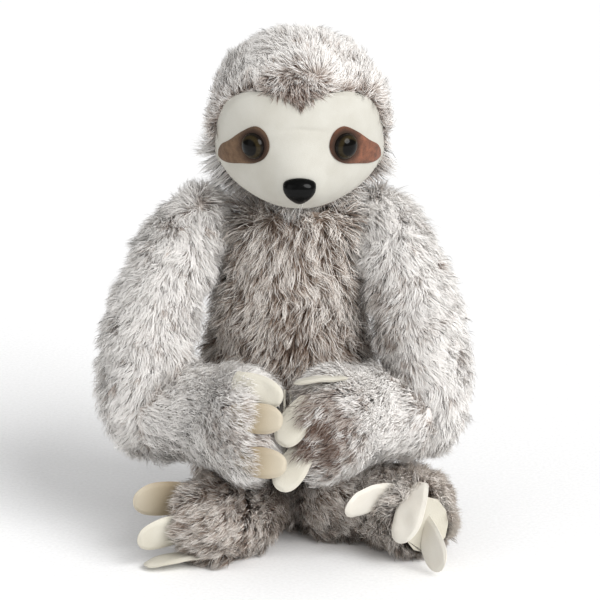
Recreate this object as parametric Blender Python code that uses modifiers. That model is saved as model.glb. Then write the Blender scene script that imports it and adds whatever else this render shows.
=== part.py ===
"""Seated plush sloth: stuffed torso, head, arms and legs, a face panel, snap-in eyes and nose, felt claws.

Lengths are metres. +X is the viewer's right, the toy looks along -Y, +Z is up, and the origin is
the middle of the flat seat on the floor.
"""

import math

import bmesh
import bpy
from mathutils import Matrix, Vector

MM = 0.001

# Clearances and cuts
SEAM_GAP = 0.3 * MM
JOINT_GAP = 0.8 * MM
FLOOR_TRIM = 0.5 * MM
CUT_OVERRUN = 40 * MM
PROBE = 0.5 * MM
WELD = 0.005 * MM

# Torso
TORSO_HEIGHT = 219 * MM
TORSO_WIDTH = 116 * MM
TORSO_DEPTH = 92 * MM
TORSO_LEAN = 6 * MM
SEAT_BULGE = 3 * MM

# Head, a ball at its base turning in the torso's neck
HEAD_WIDTH = 114 * MM
HEAD_DEPTH = 104 * MM
HEAD_HEIGHT = 110 * MM
HEAD_RISE = 45 * MM
HEAD_FORWARD = 4 * MM
HEAD_ASIDE = 7.5 * MM
NECK_BALL = 28 * MM
NECK_RISE = 12 * MM
NECK_THREAD = 1.2 * MM
MUZZLE_REACH = 15 * MM
MUZZLE_SPREAD = 27 * MM
MUZZLE_DROP = 33 * MM
MUZZLE_SAG = 8 * MM

# Face panel and eye patches
FACE_WIDTH = 107 * MM
FACE_HEIGHT = 73 * MM
FACE_CHIN_DROP = 51 * MM
FACE_SIDE_STOP = 4 * MM
PANEL_PROUD = 0.8 * MM
PANEL_DEPTH = 1.4 * MM
PATCH_THICKNESS = 0.6 * MM
PATCH_LENGTH = 31 * MM
PATCH_HEIGHT = 23 * MM
PATCH_INNER_EDGE = 10 * MM

# Eyes, nose and mouth
EYE_SPACING = 58 * MM
EYE_DROP = 10 * MM
EYE_DIAMETER = 17 * MM
EYE_DOME = 6.5 * MM
NOSE_WIDTH = 20 * MM
NOSE_HEIGHT = 19 * MM
NOSE_DOME = 9 * MM
NOSE_DROP = 31 * MM
SHANK_DIAMETER = 4.4 * MM
SHANK_LENGTH = 12 * MM
SHANK_RIB = 0.35 * MM
SHANK_RIBS = 3
WASHER_DIAMETER = 15 * MM
WASHER_THICKNESS = 2 * MM
MOUTH_LENGTH = 7 * MM
MOUTH_THREAD = 0.8 * MM

# Arms
SHOULDER_DROP = 16 * MM
SHOULDER_OFFSET = 2 * MM
SHOULDER_FORWARD = 4 * MM
SHOULDER_THICKNESS = 50 * MM
ARM_THICKNESS = 57 * MM
ARM_BOW = 8 * MM
ARMPIT_DEPTH = 90 * MM
ARMPIT_REACH = 11 * MM
LEFT_ELBOW_OUT = 94 * MM
RIGHT_ELBOW_OUT = 89 * MM
ELBOW_FORWARD = 42 * MM
ELBOW_HEIGHT = 85 * MM
ELBOW_COLLAR_HEIGHT = 34 * MM

# Hands
HAND_HEIGHT = 78 * MM
HAND_THICKNESS = 54 * MM
HAND_LIFT = 95 * MM
HAND_FORWARD = 130 * MM
HAND_DOME = 20 * MM
PALM_FLAT = 5 * MM
PALM_PAD_HEIGHT = 44 * MM
PALM_PAD_LENGTH = 34 * MM
PALM_PAD_THICKNESS = 1.5 * MM
TAPE_HEIGHT = 26 * MM
TAPE_LENGTH = 18 * MM
TAPE_THICKNESS = 0.8 * MM

# Claws
CLAW_LENGTH = 35 * MM
CLAW_WIDTH = 20 * MM
CLAW_THICKNESS = 3.6 * MM
CLAW_SEATING = 8 * MM
CLAW_DROOP = 4 * MM
FOOT_CLAW_LENGTH = 44 * MM
FOOT_CLAW_WIDTH = 25 * MM
FOOT_CLAW_SEATING = 10 * MM

# Legs
HIP_OUT = 30 * MM
HIP_FORWARD = 42 * MM
HIP_BALL = 53 * MM
LEG_THICKNESS = 50 * MM
FOOT_HEIGHT = 54 * MM
FOOT_THICKNESS = 50 * MM
FOOT_DOME = 22 * MM
LEFT_FOOT_OUT = 50 * MM
LEFT_FOOT_FORWARD = 92 * MM
LEFT_KNEE_OUT = 27 * MM
LEFT_KNEE_FORWARD = 90 * MM
RIGHT_FOOT_OUT = 84 * MM
RIGHT_FOOT_FORWARD = 88 * MM
RIGHT_KNEE_OUT = 74 * MM
RIGHT_KNEE_FORWARD = 50 * MM
SOLE_HEIGHT = 38 * MM
SOLE_WIDTH = 30 * MM
SOLE_THICKNESS = 1.6 * MM
SOLE_SET_BACK = 6 * MM

# Widest turn of each leg about its hip, measured from where it lies at rest
LEFT_HIP_OPENING = math.radians(40)
RIGHT_HIP_OPENING = math.radians(8)

# Where the ring between a limb's end and its pole lies on the dome
DOME_RING_ANGLE = math.radians(52)
# Faces that meet at more than this are drawn with a sharp edge between them
SHARP_ANGLE = math.radians(40)

# How the arms bend: where their middle points lie between their ends, and where they are full size
UPPER_ARM_BEND_SHARE = 0.9
UPPER_ARM_FULL_SHARE = 0.6
FOREARM_OUT_SHARE = 0.06
FOREARM_FORWARD_SHARE = 0.42
FOREARM_FULL_SHARE = 0.9
# How far the nose narrows towards its lower edge, and how thin a claw is at its tip
NOSE_TAPER_SHARE = 0.36
CLAW_TIP_THICKNESS_SHARE = 0.6

# Mesh fineness
LIMB_SIDES = 10
LIMB_SPANS = 5
TORSO_SIDES = 12
GUARD_COUNT = 5
PETAL_SIDES = 8
ROD_SIDES = 12
ROUND_STEPS = 7
BALL_SEGMENTS = 24
BALL_RINGS = 14
HEAD_SEGMENTS = 28
HEAD_RINGS = 18
BUTTON_SEGMENTS = 16
BUTTON_RINGS = 10
WASHER_SIDES = 20
OUTLINE_STEPS = 3
MOUTH_SPANS = 4
MOUTH_SIDES = 8
SEAM_SEGMENTS = 32
SEAM_SIDES = 5

LEFT = -1
RIGHT = 1
SIDE_NAMES = {LEFT: "left", RIGHT: "right"}

# Height, width, depth and forward lean of the torso's sections, from the seat to the neck
TORSO_SECTION_SHARES = [
    (0.00, 0.66, 0.64, 0.0),
    (0.03, 0.90, 0.88, 0.0),
    (0.12, 1.03, 1.00, 0.0),
    (0.26, 1.04, 1.06, 0.2),
    (0.42, 0.97, 1.02, 0.5),
    (0.58, 0.88, 0.90, 0.5),
    (0.72, 0.81, 0.80, 0.7),
    (0.85, 0.76, 0.72, 0.9),
    (0.94, 0.71, 0.68, 1.0),
    (1.00, 0.56, 0.62, 1.0),
]

# Half of the face panel's outline, from the fur's V at the brow round to the chin
FACE_OUTLINE_SHARES = [
    (0.00, 0.88),
    (0.14, 0.95),
    (0.38, 1.00),
    (0.63, 0.98),
    (0.85, 0.87),
    (0.98, 0.67),
    (1.00, 0.46),
    (0.89, 0.27),
    (0.62, 0.11),
    (0.30, 0.02),
    (0.00, 0.00),
]

# Eye patch outline, from its edge beside the nose out to its tip at the panel's edge
PATCH_OUTLINE_SHARES = [
    (0.00, 0.52),
    (0.09, 0.86),
    (0.30, 1.00),
    (0.58, 0.86),
    (0.86, 0.63),
    (1.00, 0.48),
    (0.99, 0.20),
    (0.82, 0.07),
    (0.55, 0.01),
    (0.26, 0.03),
    (0.07, 0.20),
]

# Width of a claw along its length, from its root to its rounded tip
CLAW_WIDTH_SHARES = [(0.0, 0.60), (0.25, 0.84), (0.50, 1.00), (0.72, 0.98), (0.88, 0.78), (0.97, 0.42)]

# Root of each hand claw from the middle of the hand's end: to the viewer's right, and up
HAND_CLAW_ROOT_SHARES = {
    LEFT: {"upper": (-0.07, 0.37), "middle": (-0.12, 0.12), "lower": (-0.08, -0.24)},
    RIGHT: {"upper": (0.10, 0.42), "middle": (-0.25, 0.17), "lower": (-0.27, -0.20)},
}
# Turn to the viewer's left, dip below level and roll of each hand claw, in degrees
HAND_CLAW_ANGLES = {
    LEFT: {"upper": (-56, 14, 82), "middle": (-66, 2, 86), "lower": (-66, 4, 84)},
    RIGHT: {"upper": (66, -6, 12), "middle": (56, 50, -48), "lower": (56, 50, -46)},
}
# Root of each foot claw from the middle of the foot's end: to its left hand side, and up
FOOT_CLAW_ROOT_SHARES = {
    LEFT: {"upper": (-0.10, 0.24), "middle": (0.20, -0.04), "lower": (0.24, -0.37)},
    RIGHT: {"upper": (-0.44, 0.30), "middle": (-0.13, 0.36), "lower": (-0.01, -0.06)},
}
# Turn, dip below level and roll of each foot claw from the way its foot points, in degrees
FOOT_CLAW_ANGLES = {
    LEFT: {"upper": (-4, -2, 80), "middle": (-14, 4, 70), "lower": (-10, 0, 6)},
    RIGHT: {"upper": (70, -2, 66), "middle": (40, 40, 20), "lower": (0, 26, 74)},
}


def clear_scene():
    """Remove every object that is in the scene at the start."""
    for obj in list(bpy.data.objects):
        bpy.data.objects.remove(obj, do_unlink=True)


def collection(name):
    """Return a new collection linked to the scene."""
    made = bpy.data.collections.new(name)
    bpy.context.scene.collection.children.link(made)
    return made


def material(name, colour, roughness, metallic=0.0):
    """Return a Principled material of one colour."""
    made = bpy.data.materials.new(name)
    made.use_nodes = True
    shader = made.node_tree.nodes["Principled BSDF"]
    shader.inputs["Base Color"].default_value = (*colour, 1.0)
    shader.inputs["Roughness"].default_value = roughness
    shader.inputs["Metallic"].default_value = metallic
    return made


class Workshop:
    """The two collections, and the ways in which a piece or a cutter joins them."""

    def __init__(self):
        """Make the collection of parts and the collection of cutters."""
        self.parts = collection("plush_sloth")
        self.cutters = collection("cutters")

    def object_from(self, name, mesh_edit, group):
        """Make an object from a bmesh, with its faces pointing out and shaded smooth."""
        bmesh.ops.recalc_face_normals(mesh_edit, faces=mesh_edit.faces)
        mesh = bpy.data.meshes.new(name)
        mesh_edit.to_mesh(mesh)
        mesh_edit.free()
        mesh.shade_smooth()
        mesh.set_sharp_from_angle(angle=SHARP_ANGLE)
        made = bpy.data.objects.new(name, mesh)
        group.objects.link(made)
        return made

    def part(self, name, mesh_edit, finish):
        """Make a piece of the toy from a bmesh and give it its material."""
        made = self.object_from(name, mesh_edit, self.parts)
        made.data.materials.append(finish)
        return made

    def cutter(self, name, mesh_edit):
        """Make a shape that only cuts or joins other shapes."""
        made = self.object_from(name, mesh_edit, self.cutters)
        made.hide_render = True
        made.display_type = "WIRE"
        return made


def combine(target, other, operation="DIFFERENCE"):
    """Cut another shape from the target, join it or keep what they share."""
    step = target.modifiers.new(f"{operation.lower()}_{other.name}", "BOOLEAN")
    step.operation = operation
    step.object = other


def subdivide(target):
    """Round a coarse cage with one level of subdivision."""
    step = target.modifiers.new("rounding", "SUBSURF")
    step.levels = 1
    step.render_levels = 1


def lerp(low, high, share):
    """Value a share of the way from low to high."""
    return low + (high - low) * share


def quadratic(start, middle, end, share):
    """Point a share of the way along a quadratic Bezier curve."""
    return lerp(lerp(start, middle, share), lerp(middle, end, share), share)


def loft(stations, across, sides):
    """Skin elliptic rings along a path and close both ends with a pole.

    Each station is (centre, half size along across, half size square to it); the first and last
    stations have no size and become the poles.
    """
    made = bmesh.new()
    rings = []
    for index, (centre, half_across, half_square) in enumerate(stations):
        if not half_across:
            rings.append([made.verts.new(centre)])
            continue
        tangent = (stations[index + 1][0] - stations[index - 1][0]).normalized()
        first = (across - tangent * across.dot(tangent)).normalized()
        second = tangent.cross(first)
        ring = []
        for side in range(sides):
            angle = math.tau * side / sides
            offset = first * half_across * math.cos(angle) + second * half_square * math.sin(angle)
            ring.append(made.verts.new(centre + offset))
        rings.append(ring)
    for low, high in zip(rings, rings[1:]):
        for side in range(sides):
            corners = [low[side % len(low)], low[(side + 1) % len(low)]]
            corners += [high[(side + 1) % len(high)], high[side % len(high)]]
            made.faces.new(list(dict.fromkeys(corners)))
    return made


def limb(path, half_across, half_square, start_dome, end_dome):
    """Stations of a stuffed limb along a path, with a dome beyond each end.

    The cage is wider than the limb by what the subdivision takes in.
    """
    swell = 3.0 / (2.0 + math.cos(math.tau / LIMB_SIDES))
    shares = [step / LIMB_SPANS for step in range(LIMB_SPANS + 1)]
    body = [(path(s), half_across(s) * swell, half_square(s) * swell) for s in shares]
    start_way = (body[0][0] - body[1][0]).normalized() * start_dome
    end_way = (body[-1][0] - body[-2][0]).normalized() * end_dome
    start = [(body[0][0] + start_way * swell, 0.0, 0.0)]
    start.append(shrunk(body[0], start_way * math.sin(DOME_RING_ANGLE), math.cos(DOME_RING_ANGLE)))
    end = [shrunk(body[-1], end_way * math.sin(DOME_RING_ANGLE), math.cos(DOME_RING_ANGLE))]
    end.append((body[-1][0] + end_way * swell, 0.0, 0.0))
    return start + body + end


def shrunk(station, shift, share):
    """A station moved along the path and made smaller."""
    centre, half_across, half_square = station
    return centre + shift, half_across * share, half_square * share


def ball(radius, centre):
    """A sphere round a centre."""
    made = bmesh.new()
    bmesh.ops.create_uvsphere(made, u_segments=BALL_SEGMENTS, v_segments=BALL_RINGS, radius=radius)
    bmesh.ops.translate(made, vec=centre, verts=made.verts)
    return made


def rod(radius, start, end, end_radius=None, segments=ROD_SIDES):
    """A cylinder, or a cone, from one point to another."""
    made = bmesh.new()
    way = end - start
    end_radius = radius if end_radius is None else end_radius
    bmesh.ops.create_cone(made, cap_ends=True, segments=segments, radius1=radius, radius2=end_radius,
                          depth=way.length)
    turn = way.to_track_quat("Z", "Y").to_matrix().to_4x4()
    bmesh.ops.transform(made, matrix=Matrix.Translation(lerp(start, end, 0.5)) @ turn, verts=made.verts)
    return made


def round_post(radius, centre, far, far_radius):
    """Half a sphere behind a centre and a post on to a far point, as one turned shape."""
    way = (far - centre).normalized()
    stations = [(centre - way * radius, 0.0, 0.0)]
    for step in range(1, ROUND_STEPS + 1):
        angle = math.pi / 2 * step / ROUND_STEPS
        across = radius * math.sin(angle)
        stations.append((centre - way * radius * math.cos(angle), across, across))
    stations += [(far, far_radius, far_radius), (far, 0.0, 0.0)]
    return loft(stations, Vector((1.0, 0.0, 0.0)), BALL_SEGMENTS)


def block(low, high):
    """A box between its lowest and highest corners."""
    made = bmesh.new()
    bmesh.ops.create_cube(made, size=1.0)
    bmesh.ops.transform(made, matrix=Matrix.Diagonal((*(high - low), 1.0)), verts=made.verts)
    bmesh.ops.translate(made, vec=lerp(low, high, 0.5), verts=made.verts)
    return made


def outline_slab(name, points, thickness, group):
    """A flat closed outline filled and thickened, lying in the XY plane, as a mesh object."""
    curve = bpy.data.curves.new(name, "CURVE")
    curve.dimensions = "2D"
    curve.fill_mode = "BOTH"
    curve.extrude = thickness / 2
    curve.resolution_u = OUTLINE_STEPS
    spline = curve.splines.new("BEZIER")
    spline.bezier_points.add(len(points) - 1)
    for knot, (across, up) in zip(spline.bezier_points, points):
        knot.co = (across, up, 0.0)
        knot.handle_left_type = "AUTO"
        knot.handle_right_type = "AUTO"
    spline.use_cyclic_u = True
    drawn = bpy.data.objects.new(f"{name}_outline", curve)
    group.objects.link(drawn)
    evaluated = drawn.evaluated_get(bpy.context.evaluated_depsgraph_get())
    mesh = bpy.data.meshes.new_from_object(evaluated)
    welded = bmesh.new()
    welded.from_mesh(mesh)
    bmesh.ops.remove_doubles(welded, verts=welded.verts, dist=WELD)
    bmesh.ops.recalc_face_normals(welded, faces=welded.faces)
    bpy.data.objects.remove(drawn, do_unlink=True)
    bpy.data.meshes.remove(mesh)
    return welded


def head_centre():
    """Middle of the stuffed head."""
    pivot = neck_pivot()
    return pivot + Vector((0.0, -HEAD_FORWARD, HEAD_RISE))


def neck_pivot():
    """Middle of the ball on which the head turns and nods."""
    return Vector((HEAD_ASIDE, -TORSO_LEAN, TORSO_HEIGHT + NECK_RISE))


def head_shell(offset):
    """The stuffed head with its muzzle, grown by an offset.

    An ellipsoid whose front is drawn forward and down by a bell-shaped bulge round the muzzle.
    """
    made = bmesh.new()
    bmesh.ops.create_uvsphere(made, u_segments=HEAD_SEGMENTS, v_segments=HEAD_RINGS, radius=1.0)
    for vert in made.verts:
        vert.co = head_point(vert.co.copy(), offset)
    bmesh.ops.triangulate(made, faces=made.faces, quad_method="FIXED")
    return made


def head_point(direction, offset):
    """Point of the head's surface, grown by an offset, in a direction from its middle."""
    sizes = Vector((HEAD_WIDTH / 2, HEAD_DEPTH / 2, HEAD_HEIGHT / 2))
    bare = sizes * direction
    away = (bare.x ** 2 + (bare.z + MUZZLE_DROP) ** 2) / MUZZLE_SPREAD ** 2
    bulge = math.exp(-away) * max(0.0, -direction.y)
    drawn = Vector((0.0, -MUZZLE_REACH, -MUZZLE_SAG)) * bulge
    return head_centre() + bare + direction * offset + drawn


def face_point(across, up, offset):
    """Point on the head's front, given how far across and up it lies from the head's middle."""
    sideways = across / (HEAD_WIDTH / 2 + offset)
    upwards = up / (HEAD_HEIGHT / 2 + offset)
    forward = -math.sqrt(1.0 - sideways ** 2 - upwards ** 2)
    return head_point(Vector((sideways, forward, upwards)), offset)


def face_normal(across, up, offset):
    """Outward direction of the head's front at a place."""
    beside = face_point(across + PROBE, up, offset) - face_point(across - PROBE, up, offset)
    above = face_point(across, up + PROBE, offset) - face_point(across, up - PROBE, offset)
    return beside.cross(above).normalized()


def face_outline(grow):
    """The face panel's outline about the head's middle, grown sideways and up."""
    half_width = FACE_WIDTH / 2 + grow
    height = FACE_HEIGHT + 2 * grow
    bottom = -FACE_CHIN_DROP - grow
    right = [(x * half_width, bottom + y * height) for x, y in FACE_OUTLINE_SHARES]
    left = [(-x, y) for x, y in reversed(right[1:-1])]
    return right + left


def patch_outline(side, grow):
    """An eye patch's outline about the head's middle, grown all round."""
    inner = EYE_SPACING / 2 - PATCH_INNER_EDGE - grow
    length = PATCH_LENGTH + 2 * grow
    height = PATCH_HEIGHT + 2 * grow
    bottom = -EYE_DROP - height / 2
    return [(side * (inner + x * length), bottom + y * height) for x, y in PATCH_OUTLINE_SHARES]


def prism(workshop, name, points):
    """An outline of the face carried from in front of the head back to its middle."""
    length = HEAD_DEPTH / 2 + CUT_OVERRUN
    made = outline_slab(name, points, length, workshop.cutters)
    stand = Matrix.Rotation(math.pi / 2, 4, "X")
    place = Matrix.Translation(head_centre() + Vector((0.0, -length / 2 - FACE_SIDE_STOP, 0.0)))
    bmesh.ops.transform(made, matrix=place @ stand, verts=made.verts)
    return workshop.cutter(name, made)


def torso_cage(sections, sides, grow):
    """The coarse cage of the torso through some of its sections, grown sideways."""
    swell = 3.0 / (2.0 + math.cos(math.tau / sides))
    stations = []
    for height, width, depth, lean in sections:
        centre = Vector((HEAD_ASIDE * lean ** 3, -TORSO_LEAN * lean,
                         lerp(-SEAT_BULGE, TORSO_HEIGHT, height)))
        stations.append((centre, (TORSO_WIDTH / 2 * width + grow) * swell,
                         (TORSO_DEPTH / 2 * depth + grow) * swell))
    stations = [(stations[0][0], 0.0, 0.0)] + stations + [(stations[-1][0], 0.0, 0.0)]
    return loft(stations, Vector((1.0, 0.0, 0.0)), sides)


def build_torso(workshop, finish):
    """The torso: a pear standing on a flat seat, hollowed where the head, arms and legs join it."""
    torso = workshop.part("torso", torso_cage(TORSO_SECTION_SHARES, TORSO_SIDES, 0.0), finish)
    subdivide(torso)
    trim_floor(workshop, torso)
    socket = workshop.cutter("neck_socket", ball(NECK_BALL + JOINT_GAP, neck_pivot()))
    combine(torso, socket)
    for side in (LEFT, RIGHT):
        name = SIDE_NAMES[side]
        armpit = shoulder(side) - Vector((0.0, 0.0, ARMPIT_DEPTH))
        hollow = round_post(SHOULDER_THICKNESS / 2 + JOINT_GAP, shoulder(side), armpit, ARMPIT_REACH)
        combine(torso, workshop.cutter(f"shoulder_socket_{name}", hollow))
        hip_socket = workshop.cutter(f"hip_socket_{name}", ball(HIP_BALL / 2 + JOINT_GAP, hip(side)))
        combine(torso, hip_socket)
    return torso


def torso_guard(workshop, side):
    """The space that the torso takes as a leg sees it, with the leg turned as far out as it goes."""
    opening = LEFT_HIP_OPENING if side == LEFT else RIGHT_HIP_OPENING
    made = torso_cage(TORSO_SECTION_SHARES[:GUARD_COUNT], TORSO_SIDES, JOINT_GAP)
    turn = Matrix.Rotation(-side * opening, 4, "Z")
    about = Matrix.Translation(hip(side))
    bmesh.ops.transform(made, matrix=about @ turn @ about.inverted(), verts=made.verts)
    guard = workshop.cutter(f"torso_guard_{SIDE_NAMES[side]}", made)
    subdivide(guard)
    return guard


def trim_floor(workshop, target):
    """Cut a stuffed form flat where it stands on the floor."""
    reach = TORSO_HEIGHT
    below = block(Vector((-reach, -reach, -CUT_OVERRUN)), Vector((reach, reach, 0.0)))
    combine(target, workshop.cutter(f"floor_under_{target.name}", below))


def build_neck_seam(workshop, finish):
    """The ring of seam thread between the torso and the head, lying round the neck ball."""
    height = TORSO_HEIGHT + SEAM_GAP + NECK_THREAD
    lift = neck_pivot().z - height
    radius = math.sqrt(NECK_BALL ** 2 - lift ** 2) + SEAM_GAP + NECK_THREAD
    bpy.ops.mesh.primitive_torus_add(major_radius=radius, minor_radius=NECK_THREAD,
                                     major_segments=SEAM_SEGMENTS, minor_segments=SEAM_SIDES,
                                     location=neck_pivot() - Vector((0.0, 0.0, lift)))
    ring = bpy.context.object
    ring.name = "neck_seam"
    ring.data.shade_smooth()
    ring.data.materials.append(finish)
    for group in list(ring.users_collection):
        group.objects.unlink(ring)
    workshop.parts.objects.link(ring)
    return ring


def build_head(workshop, finish):
    """The stuffed head with its neck ball, recessed for the face panel."""
    head = workshop.part("head", head_shell(0.0), finish)
    combine(head, workshop.cutter("neck_ball", ball(NECK_BALL, neck_pivot())), "UNION")
    recess = prism(workshop, "face_recess", face_outline(SEAM_GAP))
    combine(recess, workshop.cutter("face_floor", head_shell(-PANEL_DEPTH - SEAM_GAP)))
    combine(head, recess)
    return head


def build_face_panel(workshop, finish):
    """The face panel: a shell that follows the head's front inside the panel's outline."""
    panel = workshop.part("face_panel", head_shell(PANEL_PROUD), finish)
    combine(panel, prism(workshop, "face_prism", face_outline(0.0)), "INTERSECT")
    combine(panel, workshop.cutter("panel_back", head_shell(-PANEL_DEPTH)))
    return panel


def build_eye_patch(workshop, side, finish):
    """One brown patch lying on the face panel behind an eye."""
    name = SIDE_NAMES[side]
    top = PANEL_PROUD + SEAM_GAP + PATCH_THICKNESS
    patch = workshop.part(f"eye_patch_{name}", head_shell(top), finish)
    combine(patch, prism(workshop, f"patch_prism_{name}", patch_outline(side, 0.0)), "INTERSECT")
    combine(patch, workshop.cutter(f"patch_back_{name}", head_shell(PANEL_PROUD + SEAM_GAP)))
    return patch


def dome_form(width, height, rise, taper):
    """Half of a rounded button above its base plane and a little below, narrowing downwards."""
    made = bmesh.new()
    bmesh.ops.create_uvsphere(made, u_segments=BUTTON_SEGMENTS, v_segments=BUTTON_RINGS, radius=1.0)
    for vert in made.verts:
        narrowing = 1.0 + taper * vert.co.y
        vert.co = Vector((width / 2 * vert.co.x * narrowing, height / 2 * vert.co.y, rise * vert.co.z))
    return made


def ribbed_shank(tip, crown):
    """A round shank with ribs that the lock washer snaps over, from its tip into its button."""
    axis = crown - tip
    radius = SHANK_DIAMETER / 2
    stations = [(tip, 0.0, 0.0), (tip, radius, radius)]
    for rib in range(SHANK_RIBS):
        foot = tip + axis.normalized() * SHANK_DIAMETER * (rib + 1) / 2
        ridge = foot + axis.normalized() * SHANK_RIB
        stations.append((foot, radius, radius))
        stations.append((ridge, radius + SHANK_RIB, radius + SHANK_RIB))
        stations.append((ridge + axis.normalized() * SHANK_RIB, radius, radius))
    stations += [(crown, radius, radius), (crown, 0.0, 0.0)]
    return loft(stations, axis.orthogonal().normalized(), ROD_SIDES)


def build_button(workshop, name, form, place, seat_offset, depth, drilled, head, finishes):
    """A snap-in button: its dome seats on the face, and its ribbed shank goes through to a lock washer.

    drilled are the layers that the shank passes, and depth is how far below the seat the head begins.
    """
    point = face_point(*place, seat_offset)
    normal = face_normal(*place, seat_offset)
    turn = normal.to_track_quat("Z", "Y").to_matrix().to_4x4()
    bmesh.ops.transform(form, matrix=Matrix.Translation(point) @ turn, verts=form.verts)
    button = workshop.part(name, form, finishes[0])
    combine(button, workshop.cutter(f"{name}_seat", head_shell(seat_offset)))
    tip = point - normal * SHANK_LENGTH
    shank = workshop.cutter(f"{name}_shank", ribbed_shank(tip, point + normal * (EYE_DOME / 2)))
    combine(button, shank, "UNION")
    bore = SHANK_DIAMETER / 2 + SHANK_RIB + SEAM_GAP
    hole = rod(bore, tip - normal * SEAM_GAP, point + normal * EYE_DOME)
    drill = workshop.cutter(f"{name}_hole", hole)
    for layer in drilled:
        combine(layer, drill)
    washer_top = point - normal * (depth + SEAM_GAP)
    washer = rod(WASHER_DIAMETER / 2, washer_top - normal * WASHER_THICKNESS, washer_top,
                 segments=WASHER_SIDES)
    ring = workshop.part(f"{name}_washer", washer, finishes[1])
    combine(ring, workshop.cutter(f"{name}_washer_face", head_shell(-PANEL_DEPTH - SEAM_GAP)), "INTERSECT")
    combine(ring, drill)
    room = rod(WASHER_DIAMETER / 2 + SEAM_GAP, tip - normal * SEAM_GAP, washer_top + normal * depth,
               segments=WASHER_SIDES)
    pocket = workshop.cutter(f"{name}_pocket", room)
    combine(head, pocket)
    return button, ring


def build_mouth(workshop, finish):
    """The short stitch that runs down from the nose over the chin."""
    offset = PANEL_PROUD + SEAM_GAP + MOUTH_THREAD / 2
    start = -NOSE_DROP - NOSE_HEIGHT / 2 + MOUTH_THREAD
    points = [face_point(0.0, start - MOUTH_LENGTH * step / MOUTH_SPANS, offset)
              for step in range(MOUTH_SPANS + 1)]
    half = MOUTH_THREAD / 2
    stations = [(points[0], 0.0, 0.0)] + [(p, half, half) for p in points[1:-1]] + [(points[-1], 0.0, 0.0)]
    return workshop.part("mouth_stitch", loft(stations, Vector((1.0, 0.0, 0.0)), MOUTH_SIDES), finish)


def shoulder(side):
    """Middle of a shoulder ball."""
    return Vector((side * (TORSO_WIDTH / 2 + SHOULDER_OFFSET), -SHOULDER_FORWARD, TORSO_HEIGHT - SHOULDER_DROP))


def elbow(side):
    """Point on the upright axis about which a forearm opens."""
    out = LEFT_ELBOW_OUT if side == LEFT else RIGHT_ELBOW_OUT
    return Vector((side * out, -ELBOW_FORWARD, ELBOW_HEIGHT))


def hip(side):
    """Point on the upright axis about which a leg turns."""
    return Vector((side * HIP_OUT, -HIP_FORWARD, HIP_BALL / 2 - FLOOR_TRIM))


def palm_face():
    """Distance from the middle plane to the flat of a hand, past the tape and the palm pad."""
    return SEAM_GAP / 2 + TAPE_THICKNESS + SEAM_GAP + PALM_PAD_THICKNESS + SEAM_GAP


def hand_end(side):
    """Middle of a hand where its rounded end begins."""
    out = palm_face() + HAND_THICKNESS / 2 - PALM_FLAT
    return Vector((side * out, -HAND_FORWARD + HAND_DOME, HAND_LIFT))


def forearm_bend(side):
    """Point towards which a forearm sets out from its elbow, and from which its hand points."""
    start, end = elbow(side), hand_end(side)
    return Vector((lerp(end.x, start.x, FOREARM_OUT_SHARE), lerp(start.y, end.y, FOREARM_FORWARD_SHARE),
                   lerp(start.z, end.z, 0.5)))


def build_upper_arm(workshop, side, finish):
    """The upper arm: a tube bowed outwards, round at the shoulder and at the elbow."""
    start, end = shoulder(side), elbow(side)
    bend = Vector((end.x + side * ARM_BOW, lerp(start.y, end.y, UPPER_ARM_BEND_SHARE),
                   lerp(start.z, end.z, 0.5)))

    def path(share):
        return quadratic(start, bend, end, share)

    def half(share):
        return lerp(SHOULDER_THICKNESS, ARM_THICKNESS, min(1.0, share / UPPER_ARM_FULL_SHARE)) / 2

    stations = limb(path, half, half, SHOULDER_THICKNESS / 2, ARM_THICKNESS / 2)
    arm = workshop.part(f"upper_arm_{SIDE_NAMES[side]}", loft(stations, Vector((0.0, 1.0, 0.0)), LIMB_SIDES),
                        finish)
    subdivide(arm)
    return arm


def build_forearm(workshop, side, finish):
    """The forearm and hand: it leaves the elbow level, curves inwards and broadens to a flat-palmed hand."""
    name = SIDE_NAMES[side]
    start = elbow(side)
    end = hand_end(side)
    bend = forearm_bend(side)

    def path(share):
        return quadratic(start, bend, end, share)

    def half_height(share):
        return lerp(ARM_THICKNESS, HAND_HEIGHT, min(1.0, (share / FOREARM_FULL_SHARE) ** 2)) / 2

    def half_thickness(share):
        return lerp(ARM_THICKNESS, HAND_THICKNESS, share) / 2

    stations = limb(path, half_height, half_thickness, ARM_THICKNESS / 4, HAND_DOME)
    arm = workshop.part(f"forearm_{name}", loft(stations, Vector((0.0, 0.0, 1.0)), LIMB_SIDES), finish)
    subdivide(arm)
    reach = ARM_THICKNESS / 2 + JOINT_GAP
    collar_top = start + Vector((0.0, 0.0, ELBOW_COLLAR_HEIGHT))
    combine(arm, workshop.cutter(f"elbow_socket_{name}", round_post(reach, start, collar_top, reach)))
    flat = side * palm_face()
    wide = -side * CUT_OVERRUN
    low = Vector((min(flat, wide), -HAND_FORWARD - CUT_OVERRUN, 0.0))
    high = Vector((max(flat, wide), 0.0, HAND_LIFT + HAND_HEIGHT))
    combine(arm, workshop.cutter(f"palm_plane_{name}", block(low, high)))
    return arm


def oval_slab(workshop, name, height, length, thickness, finish, place):
    """A flat oval of felt, standing in the plane that place turns it to."""
    points = [(length / 2, 0.0), (0.0, height / 2), (-length / 2, 0.0), (0.0, -height / 2)]
    made = outline_slab(name, points, thickness, workshop.cutters)
    bmesh.ops.transform(made, matrix=place, verts=made.verts)
    return workshop.part(name, made, finish)


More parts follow.
